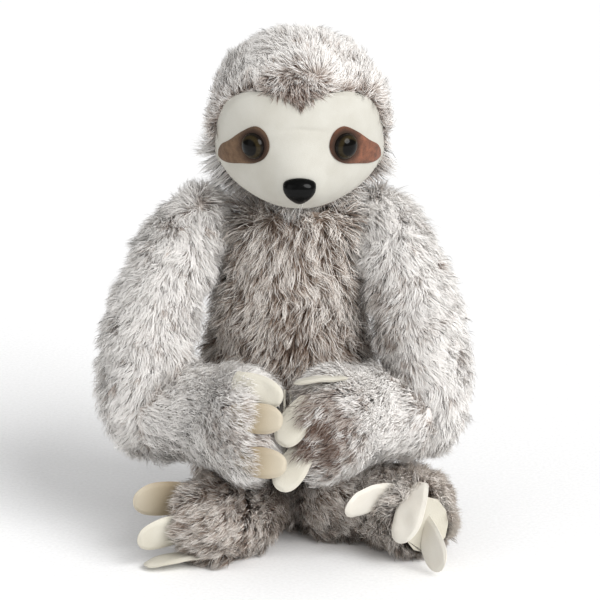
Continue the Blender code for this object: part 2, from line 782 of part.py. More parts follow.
def build_palm(workshop, side, finishes):
    """The felt palm on the flat of a hand, with its half of the closing tape."""
    name = SIDE_NAMES[side]
    stand = Matrix.Rotation(math.pi / 2, 4, "Z") @ Matrix.Rotation(math.pi / 2, 4, "X")
    middle = Vector((0.0, -HAND_FORWARD + HAND_DOME / 2 + PALM_PAD_LENGTH / 2, HAND_LIFT))
    pad_out = palm_face() - SEAM_GAP - PALM_PAD_THICKNESS / 2
    place = Matrix.Translation(middle + Vector((side * pad_out, 0.0, 0.0))) @ stand
    pad = oval_slab(workshop, f"palm_pad_{name}", PALM_PAD_HEIGHT, PALM_PAD_LENGTH, PALM_PAD_THICKNESS,
                    finishes[0], place)
    inner = SEAM_GAP / 2
    outer = inner + TAPE_THICKNESS
    low = Vector((min(side * inner, side * outer), middle.y - TAPE_LENGTH / 2, HAND_LIFT - TAPE_HEIGHT / 2))
    high = Vector((max(side * inner, side * outer), middle.y + TAPE_LENGTH / 2, HAND_LIFT + TAPE_HEIGHT / 2))
    tape_name = "hook_tape" if side == LEFT else "loop_tape"
    tape = workshop.part(tape_name, block(low, high), finishes[1])
    return pad, tape


def petal(root, way, across, length, width, grow):
    """A stuffed felt claw: a flat petal from its root along a way, drooping towards its rounded tip."""
    down = way.cross(across).normalized()
    if down.z > 0:
        down = -down
    half_thick = CLAW_THICKNESS / 2 + grow

    def centre(share):
        return root + way * length * share + down * CLAW_DROOP * share ** 2

    stations = [(centre(-grow / length), 0.0, 0.0)]
    for share, wide in CLAW_WIDTH_SHARES:
        thin = half_thick * lerp(CLAW_TIP_THICKNESS_SHARE, 1.0, wide)
        stations.append((centre(share + PROBE / length), width / 2 * wide + grow, thin))
    stations.append((centre(1.0 + grow / length), 0.0, 0.0))
    return loft(stations, across, PETAL_SIDES)


def aim(turn, dip, roll, forward):
    """Direction and width direction of a claw from its angles about a forward direction."""
    turn, dip, roll = (math.radians(angle) for angle in (turn, dip, roll))
    level = Matrix.Rotation(-turn, 3, "Z") @ forward
    way = (level * math.cos(dip) - Vector((0.0, 0.0, math.sin(dip)))).normalized()
    flat = way.cross(Vector((0.0, 0.0, 1.0))).normalized()
    return way, Matrix.Rotation(roll, 3, way) @ flat


def build_claws(workshop, slotted, label, side, limb_end, claw_form, tables, finish):
    """Three claws at the end of a limb, each seated in a slot of its own.

    limb_end is where the dome begins, the way it points, its height, its thickness, its rise and the
    rise at which it is cut flat. claw_form is a claw's length, width and seating.
    """
    end, outward, height, thickness, dome, flat = limb_end
    forward = Vector((outward.x, outward.y, 0.0)).normalized()
    length, width, seating = claw_form
    roots, angles = tables
    beside = Vector((0.0, 0.0, 1.0)).cross(forward)
    made = []
    for place, (out, up) in roots[side].items():
        way, across = aim(*angles[side][place], forward)
        rise = min(flat, dome * math.sqrt(max(0.0, 1.0 - (2 * out) ** 2 - (2 * up) ** 2)))
        surface = end + beside * thickness * out + outward.cross(beside) * height * up + outward * rise
        root = surface - way * seating
        name = f"{label}_claw_{SIDE_NAMES[side]}_{place}"
        claw = workshop.part(name, petal(root, way, across, length, width, 0.0), finish)
        slot = petal(root, way, across, length, width, SEAM_GAP)
        slot_cutter = workshop.cutter(f"{name}_slot", slot)
        for piece in slotted:
            combine(piece, slot_cutter)
        made.append(claw)
    return made


def build_leg(workshop, side, finish):
    """The leg: a tube from the hip ball along the floor, broadening to a foot that turns outwards."""
    name = SIDE_NAMES[side]
    start, knee, end = leg_route(side)

    def half_height(share):
        return lerp(LEG_THICKNESS, FOOT_HEIGHT, share) / 2

    def half_thickness(share):
        return lerp(LEG_THICKNESS, FOOT_THICKNESS, share) / 2

    def path(share):
        point = quadratic(start, knee, end, share)
        return Vector((point.x, point.y, half_height(share) - FLOOR_TRIM))

    stations = limb(path, half_height, half_thickness, LEG_THICKNESS / 2, FOOT_DOME)
    leg = workshop.part(f"leg_{name}", loft(stations, Vector((0.0, 0.0, 1.0)), LIMB_SIDES), finish)
    subdivide(leg)
    combine(leg, torso_guard(workshop, side))
    combine(leg, workshop.cutter(f"hip_ball_{name}", ball(HIP_BALL / 2, hip(side))), "UNION")
    trim_floor(workshop, leg)
    return leg


def leg_route(side):
    """Hip, knee and foot points of a leg, level with the hip."""
    if side == LEFT:
        out, forward = LEFT_FOOT_OUT, LEFT_FOOT_FORWARD
        knee_out, knee_forward = LEFT_KNEE_OUT, LEFT_KNEE_FORWARD
    else:
        out, forward = RIGHT_FOOT_OUT, RIGHT_FOOT_FORWARD
        knee_out, knee_forward = RIGHT_KNEE_OUT, RIGHT_KNEE_FORWARD
    level = hip(side).z
    return (hip(side), Vector((side * knee_out, -knee_forward, level)),
            Vector((side * out, -forward, level)))


def foot_direction(side):
    """Level direction in which a foot points."""
    route = leg_route(side)
    return (route[2] - route[1]).normalized()


def build_sole(workshop, side, leg, finish):
    """The felt sole on the flattened end of a foot."""
    forward = foot_direction(side)
    name = SIDE_NAMES[side]
    end = leg_route(side)[2]
    face = Vector((end.x, end.y, FOOT_HEIGHT / 2)) + forward * (FOOT_DOME - SOLE_SET_BACK)
    turn = forward.to_track_quat("Z", "Y").to_matrix().to_4x4()
    place = Matrix.Translation(face + forward * (SEAM_GAP + SOLE_THICKNESS / 2)) @ turn
    sole = oval_slab(workshop, f"sole_pad_{name}", SOLE_HEIGHT, SOLE_WIDTH, SOLE_THICKNESS, finish, place)
    room = block(Vector((-FOOT_HEIGHT, -FOOT_HEIGHT, 0.0)), Vector((FOOT_HEIGHT, FOOT_HEIGHT, CUT_OVERRUN)))
    bmesh.ops.transform(room, matrix=Matrix.Translation(face) @ turn, verts=room.verts)
    combine(leg, workshop.cutter(f"sole_plane_{name}", room))
    return sole


def hang_on(pivot_name, pivot, pieces):
    """Parent pieces to an empty on their joint's axis, where they are."""
    empty = bpy.data.objects.new(pivot_name, None)
    empty.location = pivot
    bpy.context.scene.collection.objects.link(empty)
    bpy.context.view_layer.update()
    for piece in pieces:
        piece.parent = empty
        piece.matrix_parent_inverse = empty.matrix_world.inverted()
    return empty


def build_face(workshop, head, finishes):
    """The face panel with its patches, eyes, nose and mouth."""
    panel = build_face_panel(workshop, finishes["panel"])
    pieces = [panel]
    patch_top = PANEL_PROUD + SEAM_GAP + PATCH_THICKNESS + SEAM_GAP
    panel_top = PANEL_PROUD + SEAM_GAP
    for side in (LEFT, RIGHT):
        patch = build_eye_patch(workshop, side, finishes["patch"])
        form = dome_form(EYE_DIAMETER, EYE_DIAMETER, EYE_DOME, 0.0)
        eye = build_button(workshop, f"eye_{SIDE_NAMES[side]}", form, (side * EYE_SPACING / 2, -EYE_DROP),
                           patch_top, patch_top + PANEL_DEPTH, (patch, panel), head,
                           (finishes["eye"], finishes["washer"]))
        pieces += [patch, *eye]
    form = dome_form(NOSE_WIDTH, NOSE_HEIGHT, NOSE_DOME, NOSE_TAPER_SHARE)
    nose = build_button(workshop, "nose", form, (0.0, -NOSE_DROP), panel_top, panel_top + PANEL_DEPTH,
                        (panel,), head, (finishes["nose"], finishes["washer"]))
    return pieces + [*nose, build_mouth(workshop, finishes["nose"])]


def build_arm(workshop, side, finishes):
    """One arm: the upper arm on its shoulder, and the forearm with its palm and claws on the elbow."""
    name = SIDE_NAMES[side]
    upper = build_upper_arm(workshop, side, finishes["arm_fur"])
    lower = build_forearm(workshop, side, finishes["arm_fur"])
    pad, tape = build_palm(workshop, side, (finishes["felt"], finishes["tape"]))
    outward = (hand_end(side) - forearm_bend(side)).normalized()
    limb_end = (hand_end(side), outward, HAND_HEIGHT, HAND_THICKNESS, HAND_DOME, HAND_DOME)
    claws = build_claws(workshop, (lower, pad), "hand", side, limb_end,
                        (CLAW_LENGTH, CLAW_WIDTH, CLAW_SEATING), (HAND_CLAW_ROOT_SHARES, HAND_CLAW_ANGLES),
                        finishes["felt"])
    shoulder_pivot = hang_on(f"shoulder_pivot_{name}", shoulder(side), [upper])
    elbow_pivot = hang_on(f"elbow_pivot_{name}", elbow(side), [lower, pad, tape, *claws])
    elbow_pivot.parent = shoulder_pivot
    elbow_pivot.matrix_parent_inverse = shoulder_pivot.matrix_world.inverted()


def build_lower_limb(workshop, side, finishes):
    """One leg with its sole and claws."""
    leg = build_leg(workshop, side, finishes["body_fur"])
    sole = build_sole(workshop, side, leg, finishes["felt"])
    end = leg_route(side)[2]
    limb_end = (Vector((end.x, end.y, FOOT_HEIGHT / 2)), foot_direction(side), FOOT_HEIGHT, FOOT_THICKNESS,
                FOOT_DOME, FOOT_DOME - SOLE_SET_BACK)
    claws = build_claws(workshop, (leg, sole), "foot", side, limb_end,
                        (FOOT_CLAW_LENGTH, FOOT_CLAW_WIDTH, FOOT_CLAW_SEATING),
                        (FOOT_CLAW_ROOT_SHARES, FOOT_CLAW_ANGLES), finishes["felt"])
    hang_on(f"hip_pivot_{SIDE_NAMES[side]}", hip(side), [leg, sole, *claws])


def main():
    """Build every piece of the toy."""
    clear_scene()
    workshop = Workshop()
    finishes = {
        "body_fur": material("body_fur", (0.40, 0.34, 0.31), 0.95),
        "arm_fur": material("arm_fur", (0.66, 0.62, 0.59), 0.95),
        "panel": material("face_plush", (0.86, 0.82, 0.74), 0.9),
        "patch": material("patch_plush", (0.26, 0.11, 0.06), 0.9),
        "eye": material("eye_gloss", (0.05, 0.03, 0.02), 0.08),
        "nose": material("nose_gloss", (0.015, 0.013, 0.013), 0.12),
        "washer": material("washer_plastic", (0.80, 0.80, 0.78), 0.5),
        "felt": material("claw_felt", (0.85, 0.80, 0.68), 0.95),
        "tape": material("closing_tape", (0.75, 0.72, 0.66), 0.9),
        "thread": material("seam_thread", (0.35, 0.29, 0.26), 0.8),
    }
    build_torso(workshop, finishes["body_fur"])
    seam = build_neck_seam(workshop, finishes["thread"])
    head = build_head(workshop, finishes["body_fur"])
    face = build_face(workshop, head, finishes)
    hang_on("neck_pivot", neck_pivot(), [seam, head, *face])
    for side in (LEFT, RIGHT):
        build_arm(workshop, side, finishes)
        build_lower_limb(workshop, side, finishes)


main()
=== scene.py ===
"""Looks of a seated plush sloth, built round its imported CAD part.

Lengths are metres. +X is the viewer's right, the toy looks along -Y, +Z is up.
"""

from __future__ import annotations

import logging
import math
from dataclasses import dataclass, field
from enum import Enum

import bmesh
import bpy
import numpy as np
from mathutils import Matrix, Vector
from mathutils.bvhtree import BVHTree


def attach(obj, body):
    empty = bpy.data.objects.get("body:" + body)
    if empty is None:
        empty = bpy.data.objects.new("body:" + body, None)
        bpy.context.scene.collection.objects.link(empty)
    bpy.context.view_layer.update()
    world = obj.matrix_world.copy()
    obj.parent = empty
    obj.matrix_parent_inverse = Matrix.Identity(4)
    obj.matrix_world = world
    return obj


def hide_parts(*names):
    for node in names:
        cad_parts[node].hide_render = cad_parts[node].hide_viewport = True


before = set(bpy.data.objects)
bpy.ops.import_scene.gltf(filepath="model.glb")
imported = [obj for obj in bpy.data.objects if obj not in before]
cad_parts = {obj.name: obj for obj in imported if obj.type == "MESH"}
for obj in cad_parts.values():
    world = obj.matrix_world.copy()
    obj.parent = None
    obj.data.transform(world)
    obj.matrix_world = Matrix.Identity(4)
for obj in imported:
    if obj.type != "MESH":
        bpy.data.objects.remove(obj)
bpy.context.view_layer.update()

LOG = logging.getLogger("sloth")
Array = np.ndarray
Place = tuple[float, float, float]
Colour = tuple[float, float, float]
MM = 0.001
SEED = 20260
FLOOR_GAP = 0.3 * MM
# The viewer's left and right
SIDES = ((-1, "left"), (1, "right"))
DOWN = (0.0, 0.0, -1.0)
# Name of the pieces' own UV maps
UV_NAME = "OFBake"
# Share of a strand's length by which its tone moves the colours, from the darkest tone to the palest
TONE_SPREAD = 1.3


class Slot(str, Enum):
    """Material slots of the record."""

    BODY_FUR = "body_fur"
    ARM_FUR = "arm_fur"
    FACE = "face_plush"
    PATCH = "patch_plush"
    EYE = "eye_gloss"
    NOSE = "nose_gloss"
    WASHER = "washer_plastic"
    FELT = "claw_felt"
    TAPE = "closing_tape"
    THREAD = "seam_thread"


# Small numeric tools


def unit(vectors: Array) -> Array:
    """Scale vectors to length one.

    Args:
        vectors: Vectors along the last axis.

    Returns:
        The same directions, each of length one.
    """
    lengths = np.linalg.norm(vectors, axis=-1, keepdims=True)
    return vectors / np.maximum(lengths, 1e-12)


def smoothstep(low: float, high: float, values: Array) -> Array:
    """Ease from 0 at low to 1 at high, as 3s^2 - 2s^3 of the share s.

    Args:
        low: Value at which the result is 0.
        high: Value at which the result is 1.
        values: Where to read it.

    Returns:
        The eased shares.
    """
    share = np.clip((values - low) / (high - low), 0.0, 1.0)
    return share * share * (3.0 - 2.0 * share)


class Ripple:
    """Smooth noise: a sum of sine waves that run in seeded directions."""

    def __init__(self, rng: np.random.Generator, wavelength: float, waves: int = 7) -> None:
        """Draw the waves.

        Args:
            rng: Source of the random draws.
            wavelength: Mean length of a wave in metres.
            waves: How many waves are summed.
        """
        ways = unit(rng.normal(size=(waves, 3)))
        self.numbers = ways * (math.tau / (wavelength * rng.uniform(0.6, 1.6, size=(waves, 1))))
        self.phases = rng.uniform(0.0, math.tau, size=waves)

    def at(self, points: Array) -> Array:
        """Read the noise.

        Args:
            points: Places, one row each.

        Returns:
            One value per place, mostly between -1 and 1.
        """
        waves = np.sin(points @ self.numbers.T + self.phases)
        return waves.sum(axis=1) / math.sqrt(len(self.phases))


class RippleField:
    """Three ripples that together give a smooth random vector."""

    def __init__(self, rng: np.random.Generator, wavelength: float) -> None:
        """Draw the three ripples.

        Args:
            rng: Source of the random draws.
            wavelength: Mean length of a wave in metres.
        """
        self.parts = [Ripple(rng, wavelength) for _ in range(3)]

    def at(self, points: Array) -> Array:
        """Read the vectors.

        Args:
            points: Places, one row each.

        Returns:
            One vector per place.
        """
        return np.stack([part.at(points) for part in self.parts], axis=1)


# Meshes from arrays


def mesh_object(
    name: str,
    points: Array,
    faces: list[Array],
    uv: Array | None = None,
    normals: Array | None = None,
) -> bpy.types.Object:
    """Make a smooth-shaded mesh object from arrays.

    Args:
        name: Name of the object.
        points: One row per vertex.
        faces: Arrays of vertex numbers; the rows of one array are faces with equally many corners.
        uv: One row per vertex for the UV map, or None.
        normals: One shading normal per vertex, or None.

    Returns:
        The object, linked to the scene, at the origin.
    """
    mesh = bpy.data.meshes.new(name)
    corners = np.concatenate([block.ravel() for block in faces]).astype(np.int32)
    sizes = np.concatenate([np.full(len(block), block.shape[1]) for block in faces]).astype(np.int32)
    mesh.vertices.add(len(points))
    mesh.vertices.foreach_set("co", np.ascontiguousarray(points, dtype=np.float32).ravel())
    mesh.loops.add(len(corners))
    mesh.loops.foreach_set("vertex_index", corners)
    mesh.polygons.add(len(sizes))
    starts = np.concatenate([[0], np.cumsum(sizes)[:-1]])
    mesh.polygons.foreach_set("loop_start", starts.astype(np.int32))
    mesh.polygons.foreach_set("loop_total", sizes)
    mesh.update(calc_edges=True)
    mesh.validate()
    if uv is not None:
        layer = mesh.uv_layers.new(name=UV_NAME)
        layer.data.foreach_set("uv", uv[corners].astype(np.float32).ravel())
    mesh.shade_smooth()
    if normals is not None:
        mesh.normals_split_custom_set_from_vertices(normals.astype(np.float32))
    made = bpy.data.objects.new(name, mesh)
    bpy.context.scene.collection.objects.link(made)
    return made


def grid_quads(rows: int, columns: int, closed: bool) -> Array:
    """Quads of a grid whose vertices are numbered row by row.

    Args:
        rows: How many rows of vertices.
        columns: How many vertices in a row.
        closed: True if the last column joins the first.

    Returns:
        One row of four vertex numbers per quad.
    """
    across = np.arange(columns if closed else columns - 1)
    row, column = np.meshgrid(np.arange(rows - 1), across, indexing="ij")
    following = (column + 1) % columns
    low, high = row * columns, (row + 1) * columns
    quads = np.stack([low + column, low + following, high + following, high + column], axis=-1)
    return quads.reshape(-1, 4)


@dataclass
class Surface:
    """A CAD node's surface, welded, with smooth normals."""

    points: Array
    triangles: Array
    normals: Array
    open: Array
    depth: Array

    CLOSED_WITHIN = 2 * MM
    PROBE_INSET = 0.02 * MM
    DEPTH_SHARE = 0.4

    @classmethod
    def of(cls, node: str, beside: tuple[str, ...] = (), hidden: float = 0.0) -> Surface:
        """Read the surface of a CAD node.

        Args:
            node: Name of the node.
            beside: Nodes whose surfaces close off the places close to them.
            hidden: How open such a closed place still is.

        Returns:
            Its welded surface, with 1 for each open point and less for each closed one, and with the
            depth below each point that stays clear of the far wall.
        """
        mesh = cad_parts[node].data
        mesh.calc_loop_triangles()
        raw = np.empty(len(mesh.vertices) * 3, dtype=np.float32)
        mesh.vertices.foreach_get("co", raw)
        corners = np.empty(len(mesh.loop_triangles) * 3, dtype=np.int32)
        mesh.loop_triangles.foreach_get("vertices", corners)
        points, index = np.unique(np.round(raw.reshape(-1, 3).astype(float), 6), axis=0, return_inverse=True)
        triangles = index.ravel()[corners].reshape(-1, 3)
        edges = points[triangles[:, 1:]] - points[triangles[:, :1]]
        facing = np.cross(edges[:, 0], edges[:, 1])
        normals = np.zeros_like(points)
        for corner in range(3):
            np.add.at(normals, triangles[:, corner], facing)
        opened = np.ones(len(points))
        for other in beside:
            wall = Surface.of(other)
            tree = BVHTree.FromPolygons(wall.points.tolist(), wall.triangles.tolist())
            far = [tree.find_nearest(point, cls.CLOSED_WITHIN)[0] is None for point in points.tolist()]
            opened = np.minimum(opened, np.array(far, dtype=float))
        opened = np.maximum(opened, hidden)
        normals = unit(normals)
        own = BVHTree.FromPolygons(points.tolist(), triangles.tolist())
        probes = zip((points - cls.PROBE_INSET * normals).tolist(), (-normals).tolist())
        depth = np.array([own.ray_cast(start, way)[3] or 0.0 for start, way in probes]) * cls.DEPTH_SHARE
        return cls(points, triangles, normals, opened, depth)

    def scatter(self, rng: np.random.Generator, count: int) -> tuple[Array, Array, Array]:
        """Draw random places, evenly by area.

        Args:
            rng: Source of the random draws.
            count: How many places.

        Returns:
            The places, and the smooth normal and the free depth at each.
        """
        edges = self.points[self.triangles[:, 1:]] - self.points[self.triangles[:, :1]]
        areas = np.linalg.norm(np.cross(edges[:, 0], edges[:, 1]), axis=1)
        areas = areas * self.open[self.triangles].max(axis=1)
        chosen = self.triangles[rng.choice(len(areas), size=count, p=areas / areas.sum())]
        first, second = np.sqrt(rng.random(count)), rng.random(count)
        shares = np.stack([1.0 - first, first * (1.0 - second), first * second], axis=1)[:, :, None]
        depth = (self.depth[chosen] * shares[:, :, 0]).sum(axis=1)
        places, normals = ((each[chosen] * shares).sum(axis=1) for each in (self.points, self.normals))
        return places, unit(normals), depth


# Finishes


class Tree:
    """A material's node tree with short ways to add and link nodes."""

    def __init__(self, name: str) -> None:
        """Make the material.

        Args:
            name: Name of the material.
        """
        self.material = bpy.data.materials.new(name)
        self.material.use_nodes = True
        self.nodes = self.material.node_tree.nodes
        self.links = self.material.node_tree.links
        self.shader = self.nodes["Principled BSDF"]

    def add(self, kind: str, **inputs: object) -> bpy.types.Node:
        """Add a node.

        Args:
            kind: Type of the node.
            inputs: Values or sockets for its inputs, named as on the node with _ for spaces.

        Returns:
            The node.
        """
        made = self.nodes.new(kind)
        self.feed(made, **inputs)
        return made

    def feed(self, node: bpy.types.Node, **inputs: object) -> None:
        """Set or link inputs of a node.

        Args:
            node: The node.
            inputs: Values or sockets, named as on the node with _ for spaces.
        """
        for name, value in inputs.items():
            socket = node.inputs[name.replace("_", " ")]
            if isinstance(value, bpy.types.NodeSocket):
                self.links.new(value, socket)
            else:
                socket.default_value = value

    def math(self, operation: str, first: object, second: object = 0.0) -> bpy.types.NodeSocket:
        """Add a math node on two inputs.

        Args:
            operation: The node's operation.
            first: Its first value or socket.
            second: Its second value or socket.

        Returns:
            The result.
        """
        made = self.nodes.new("ShaderNodeMath")
        made.operation = operation
        for socket, value in zip(made.inputs, (first, second)):
            if isinstance(value, bpy.types.NodeSocket):
                self.links.new(value, socket)
            else:
                socket.default_value = value
        return made.outputs[0]

    def ramp(
        self, share: bpy.types.NodeSocket, stops: tuple[tuple[float, Colour], ...]
    ) -> bpy.types.NodeSocket:
        """Add a colour ramp.

        Args:
            share: Where the ramp is read.
            stops: Place and colour of each stop.

        Returns:
            The colour.
        """
        made = self.add("ShaderNodeValToRGB", Fac=share)
        band = made.color_ramp
        while len(band.elements) < len(stops):
            band.elements.new(0.5)
        for element, (place, colour) in zip(band.elements, stops):
            element.position = place
            element.color = (*colour, 1.0)
        return made.outputs["Color"]

    def gate(self, share: bpy.types.NodeSocket, low: float, high: float) -> bpy.types.NodeSocket:
        """Rise from 0 where the share is low to 1 where it is high."""
        return self.ramp(share, ((low, (0.0, 0.0, 0.0)), (high, (1.0, 1.0, 1.0))))

    def uv_parts(self) -> tuple[bpy.types.NodeSocket, bpy.types.NodeSocket]:
        """Read the piece's own UV map.

        Returns:
            Its U and its V.
        """
        uv = self.add("ShaderNodeUVMap")
        uv.uv_map = UV_NAME
        parts = self.add("ShaderNodeSeparateXYZ", Vector=uv.outputs["UV"])
        return parts.outputs["X"], parts.outputs["Y"]

    def mix(self, share: object, first: object, second: object) -> bpy.types.NodeSocket:
        """Mix two colours.

        Args:
            share: How much of the second, as a value or socket.
            first: The first colour or socket.
            second: The second colour or socket.

        Returns:
            The mixed colour.
        """
        made = self.nodes.new("ShaderNodeMix")
        made.data_type = "RGBA"
        for index, value in ((0, share), (6, first), (7, second)):
            if isinstance(value, bpy.types.NodeSocket):
                self.links.new(value, made.inputs[index])
            elif isinstance(value, tuple):
                made.inputs[index].default_value = (*value, 1.0)
            else:
                made.inputs[index].default_value = value
        return made.outputs[2]


def nap_group() -> bpy.types.NodeTree:
    """Node group that turns a scale and a strength into the bumps of cloth with a short nap.

    Returns:
        The group, made at its first use.
    """
    name = "cloth_nap"
    if name in bpy.data.node_groups:
        return bpy.data.node_groups[name]
    group = bpy.data.node_groups.new(name, "ShaderNodeTree")
    scale = group.interface.new_socket("Scale", in_out="INPUT", socket_type="NodeSocketFloat")
    strength = group.interface.new_socket("Strength", in_out="INPUT", socket_type="NodeSocketFloat")
    group.interface.new_socket("Normal", in_out="OUTPUT", socket_type="NodeSocketVector")
    group.interface.new_socket("Fleck", in_out="OUTPUT", socket_type="NodeSocketFloat")
    source = group.nodes.new("NodeGroupInput")
    target = group.nodes.new("NodeGroupOutput")
    place = group.nodes.new("ShaderNodeTexCoord")
    noise = group.nodes.new("ShaderNodeTexNoise")
    noise.inputs["Detail"].default_value = 4.0
    noise.inputs["Roughness"].default_value = 0.65
    bump = group.nodes.new("ShaderNodeBump")
    bump.inputs["Distance"].default_value = 0.4 * MM
    group.links.new(place.outputs["Object"], noise.inputs["Vector"])
    group.links.new(source.outputs[scale.name], noise.inputs["Scale"])
    group.links.new(source.outputs[strength.name], bump.inputs["Strength"])
    group.links.new(noise.outputs["Fac"], bump.inputs["Height"])
    group.links.new(bump.outputs["Normal"], target.inputs["Normal"])
    group.links.new(noise.outputs["Fac"], target.inputs["Fleck"])
    return group


@dataclass(frozen=True)
class ClothFinish:
    """Napped cloth or felt, flecked, with fine bumps and a soft sheen.

    Attributes:
        name: Name of the material.
        colour: Its colour.
        shade: The darker colour of its flecks and blotches.
        scale: How fine the nap is.
        strength: How strong its bumps are.
        sheen: How much it shines at a flat angle.
        blotch: How fine the blotches are.
        tip: Colour towards V = 1 of the UV map, if another.
        ring: Middle of a dark ring, if any.
    """

    name: str
    colour: Colour
    shade: Colour
    scale: float
    strength: float
    sheen: float
    blotch: float = 55.0
    tip: Colour | None = None
    ring: Place | None = None

    RING_REACH = 20 * MM
    RING_COLOUR = (0.045, 0.026, 0.018)

    def build(self) -> bpy.types.Material:
        """Make the material.

        Returns:
            The material.
        """
        tree = Tree(self.name)
        nap = tree.nodes.new("ShaderNodeGroup")
        nap.node_tree = nap_group()
        tree.feed(nap, Scale=self.scale, Strength=self.strength)
        place = tree.add("ShaderNodeTexCoord").outputs["Object"]
        broad = tree.add("ShaderNodeTexNoise", Vector=place, Scale=self.blotch, Detail=3.0).outputs["Fac"]
        worn = tree.ramp(broad, ((0.35, self.shade), (0.62, self.colour)))
        flecks = tree.ramp(nap.outputs["Fleck"], ((0.3, self.shade), (0.6, self.colour)))
        flecked = tree.mix(0.35, worn, flecks)
        if self.tip:
            _, along = tree.uv_parts()
            flecked = tree.mix(tree.gate(along, 0.45, 0.95), flecked, self.tip)
        if self.ring:
            apart = tree.add("ShaderNodeVectorMath", Vector=place)
            apart.operation = "DISTANCE"
            apart.inputs[1].default_value = self.ring
            share = tree.math("DIVIDE", apart.outputs["Value"], self.RING_REACH)
            flecked = tree.mix(tree.gate(share, 0.46, 0.78), self.RING_COLOUR, flecked)
        tree.feed(tree.shader, Base_Color=flecked, Normal=nap.outputs["Normal"], Roughness=0.95,
                  Sheen_Weight=self.sheen, Sheen_Roughness=0.5, Specular_IOR_Level=0.15)
        return tree.material


@dataclass(frozen=True)
class FurFinish:
    """Long pile, coloured along each strand: the UV map holds the strand's tone and the way to its tip."""

    name: str
    root: Colour
    middle: Colour
    tip: Colour
    frost_from: float
    frost_to: float

    def build(self) -> bpy.types.Material:
        """Make the material.

        Returns:
            The material.
        """
        tree = Tree(self.name)
        tone, along = tree.uv_parts()
        lifted = tree.math("ADD", along, tree.math("MULTIPLY", tree.math("SUBTRACT", tone, 0.5), TONE_SPREAD))
        stops = (0.05, self.root), (self.frost_from, self.middle), (self.frost_to, self.tip)
        colour = tree.ramp(lifted, stops)
        tree.feed(tree.shader, Base_Color=colour, Roughness=0.7, Sheen_Weight=0.15, Sheen_Roughness=0.4,
                  Specular_IOR_Level=0.25)
        return tree.material


@dataclass(frozen=True)
class EyeFinish:
    """A glossy safety eye: black pupil, streaked brown iris and dark rim, read from the UV map."""

    name: str
    pupil: Colour = (0.003, 0.0025, 0.002)
    iris: Colour = (0.022, 0.016, 0.007)
    rim: Colour = (0.007, 0.005, 0.004)

    def build(self) -> bpy.types.Material:
        """Make the material.

        Returns:
            The material.
        """
        tree = Tree(self.name)
        turn, radius = tree.uv_parts()
        spokes = tree.add("ShaderNodeTexNoise", Scale=6.0, Detail=3.0)
        turned = tree.add("ShaderNodeCombineXYZ", X=tree.math("MULTIPLY", turn, 9.0),
                          Y=tree.math("MULTIPLY", radius, 0.4))
        tree.feed(spokes, Vector=turned.outputs["Vector"])
        lit = tuple(min(1.0, 1.6 * part) for part in self.iris)
        streaks = tree.ramp(spokes.outputs["Fac"], ((0.35, self.iris), (0.7, lit)))
        inner, outer = tree.gate(radius, 0.60, 0.70), tree.gate(radius, 0.84, 0.94)
        colour = tree.mix(outer, tree.mix(inner, self.pupil, streaks), self.rim)
        tree.feed(tree.shader, Base_Color=colour, Roughness=0.3, Specular_IOR_Level=0.04,
                  Coat_Weight=0.25, Coat_Roughness=0.03)
        return tree.material


@dataclass(frozen=True)
class SmoothFinish:
    """Moulded plastic or thread: one colour with faint unevenness."""

    name: str
    colour: Colour
    roughness: float
    coat: float = 0.0
    bump: float = 0.05
    specular: float = 0.15

    def build(self) -> bpy.types.Material:
        """Make the material.

        Returns:
            The material.
        """
        tree = Tree(self.name)
        place = tree.add("ShaderNodeTexCoord").outputs["Object"]
        noise = tree.add("ShaderNodeTexNoise", Vector=place, Scale=420.0, Detail=3.0).outputs["Fac"]
        bump = tree.add("ShaderNodeBump", Height=noise, Strength=self.bump, Distance=0.3 * MM)
        pale = tuple(min(1.0, 1.12 * part + 0.001) for part in self.colour)
        tree.feed(tree.shader, Base_Color=tree.ramp(noise, ((0.3, self.colour), (0.7, pale))),
                  Normal=bump.outputs["Normal"], Roughness=self.roughness, Specular_IOR_Level=self.specular,
                  Coat_Weight=self.coat, Coat_Roughness=0.08)
        return tree.material


def dress(made: bpy.types.Object, finish: bpy.types.Material, slot: Slot, body: str, *nodes: str) -> None:
    """Give a piece its finish and the body that it moves with, and hide the CAD nodes it stands for.

    Args:
        made: The piece.
        finish: Its material.
        slot: Not used.
        body: The CAD body that it rides on.
        nodes: CAD nodes that it replaces.
    """
    made.data.materials.clear()
    made.data.materials.append(finish)
    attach(made, body)
    if nodes:
        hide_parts(*nodes)


# The claws


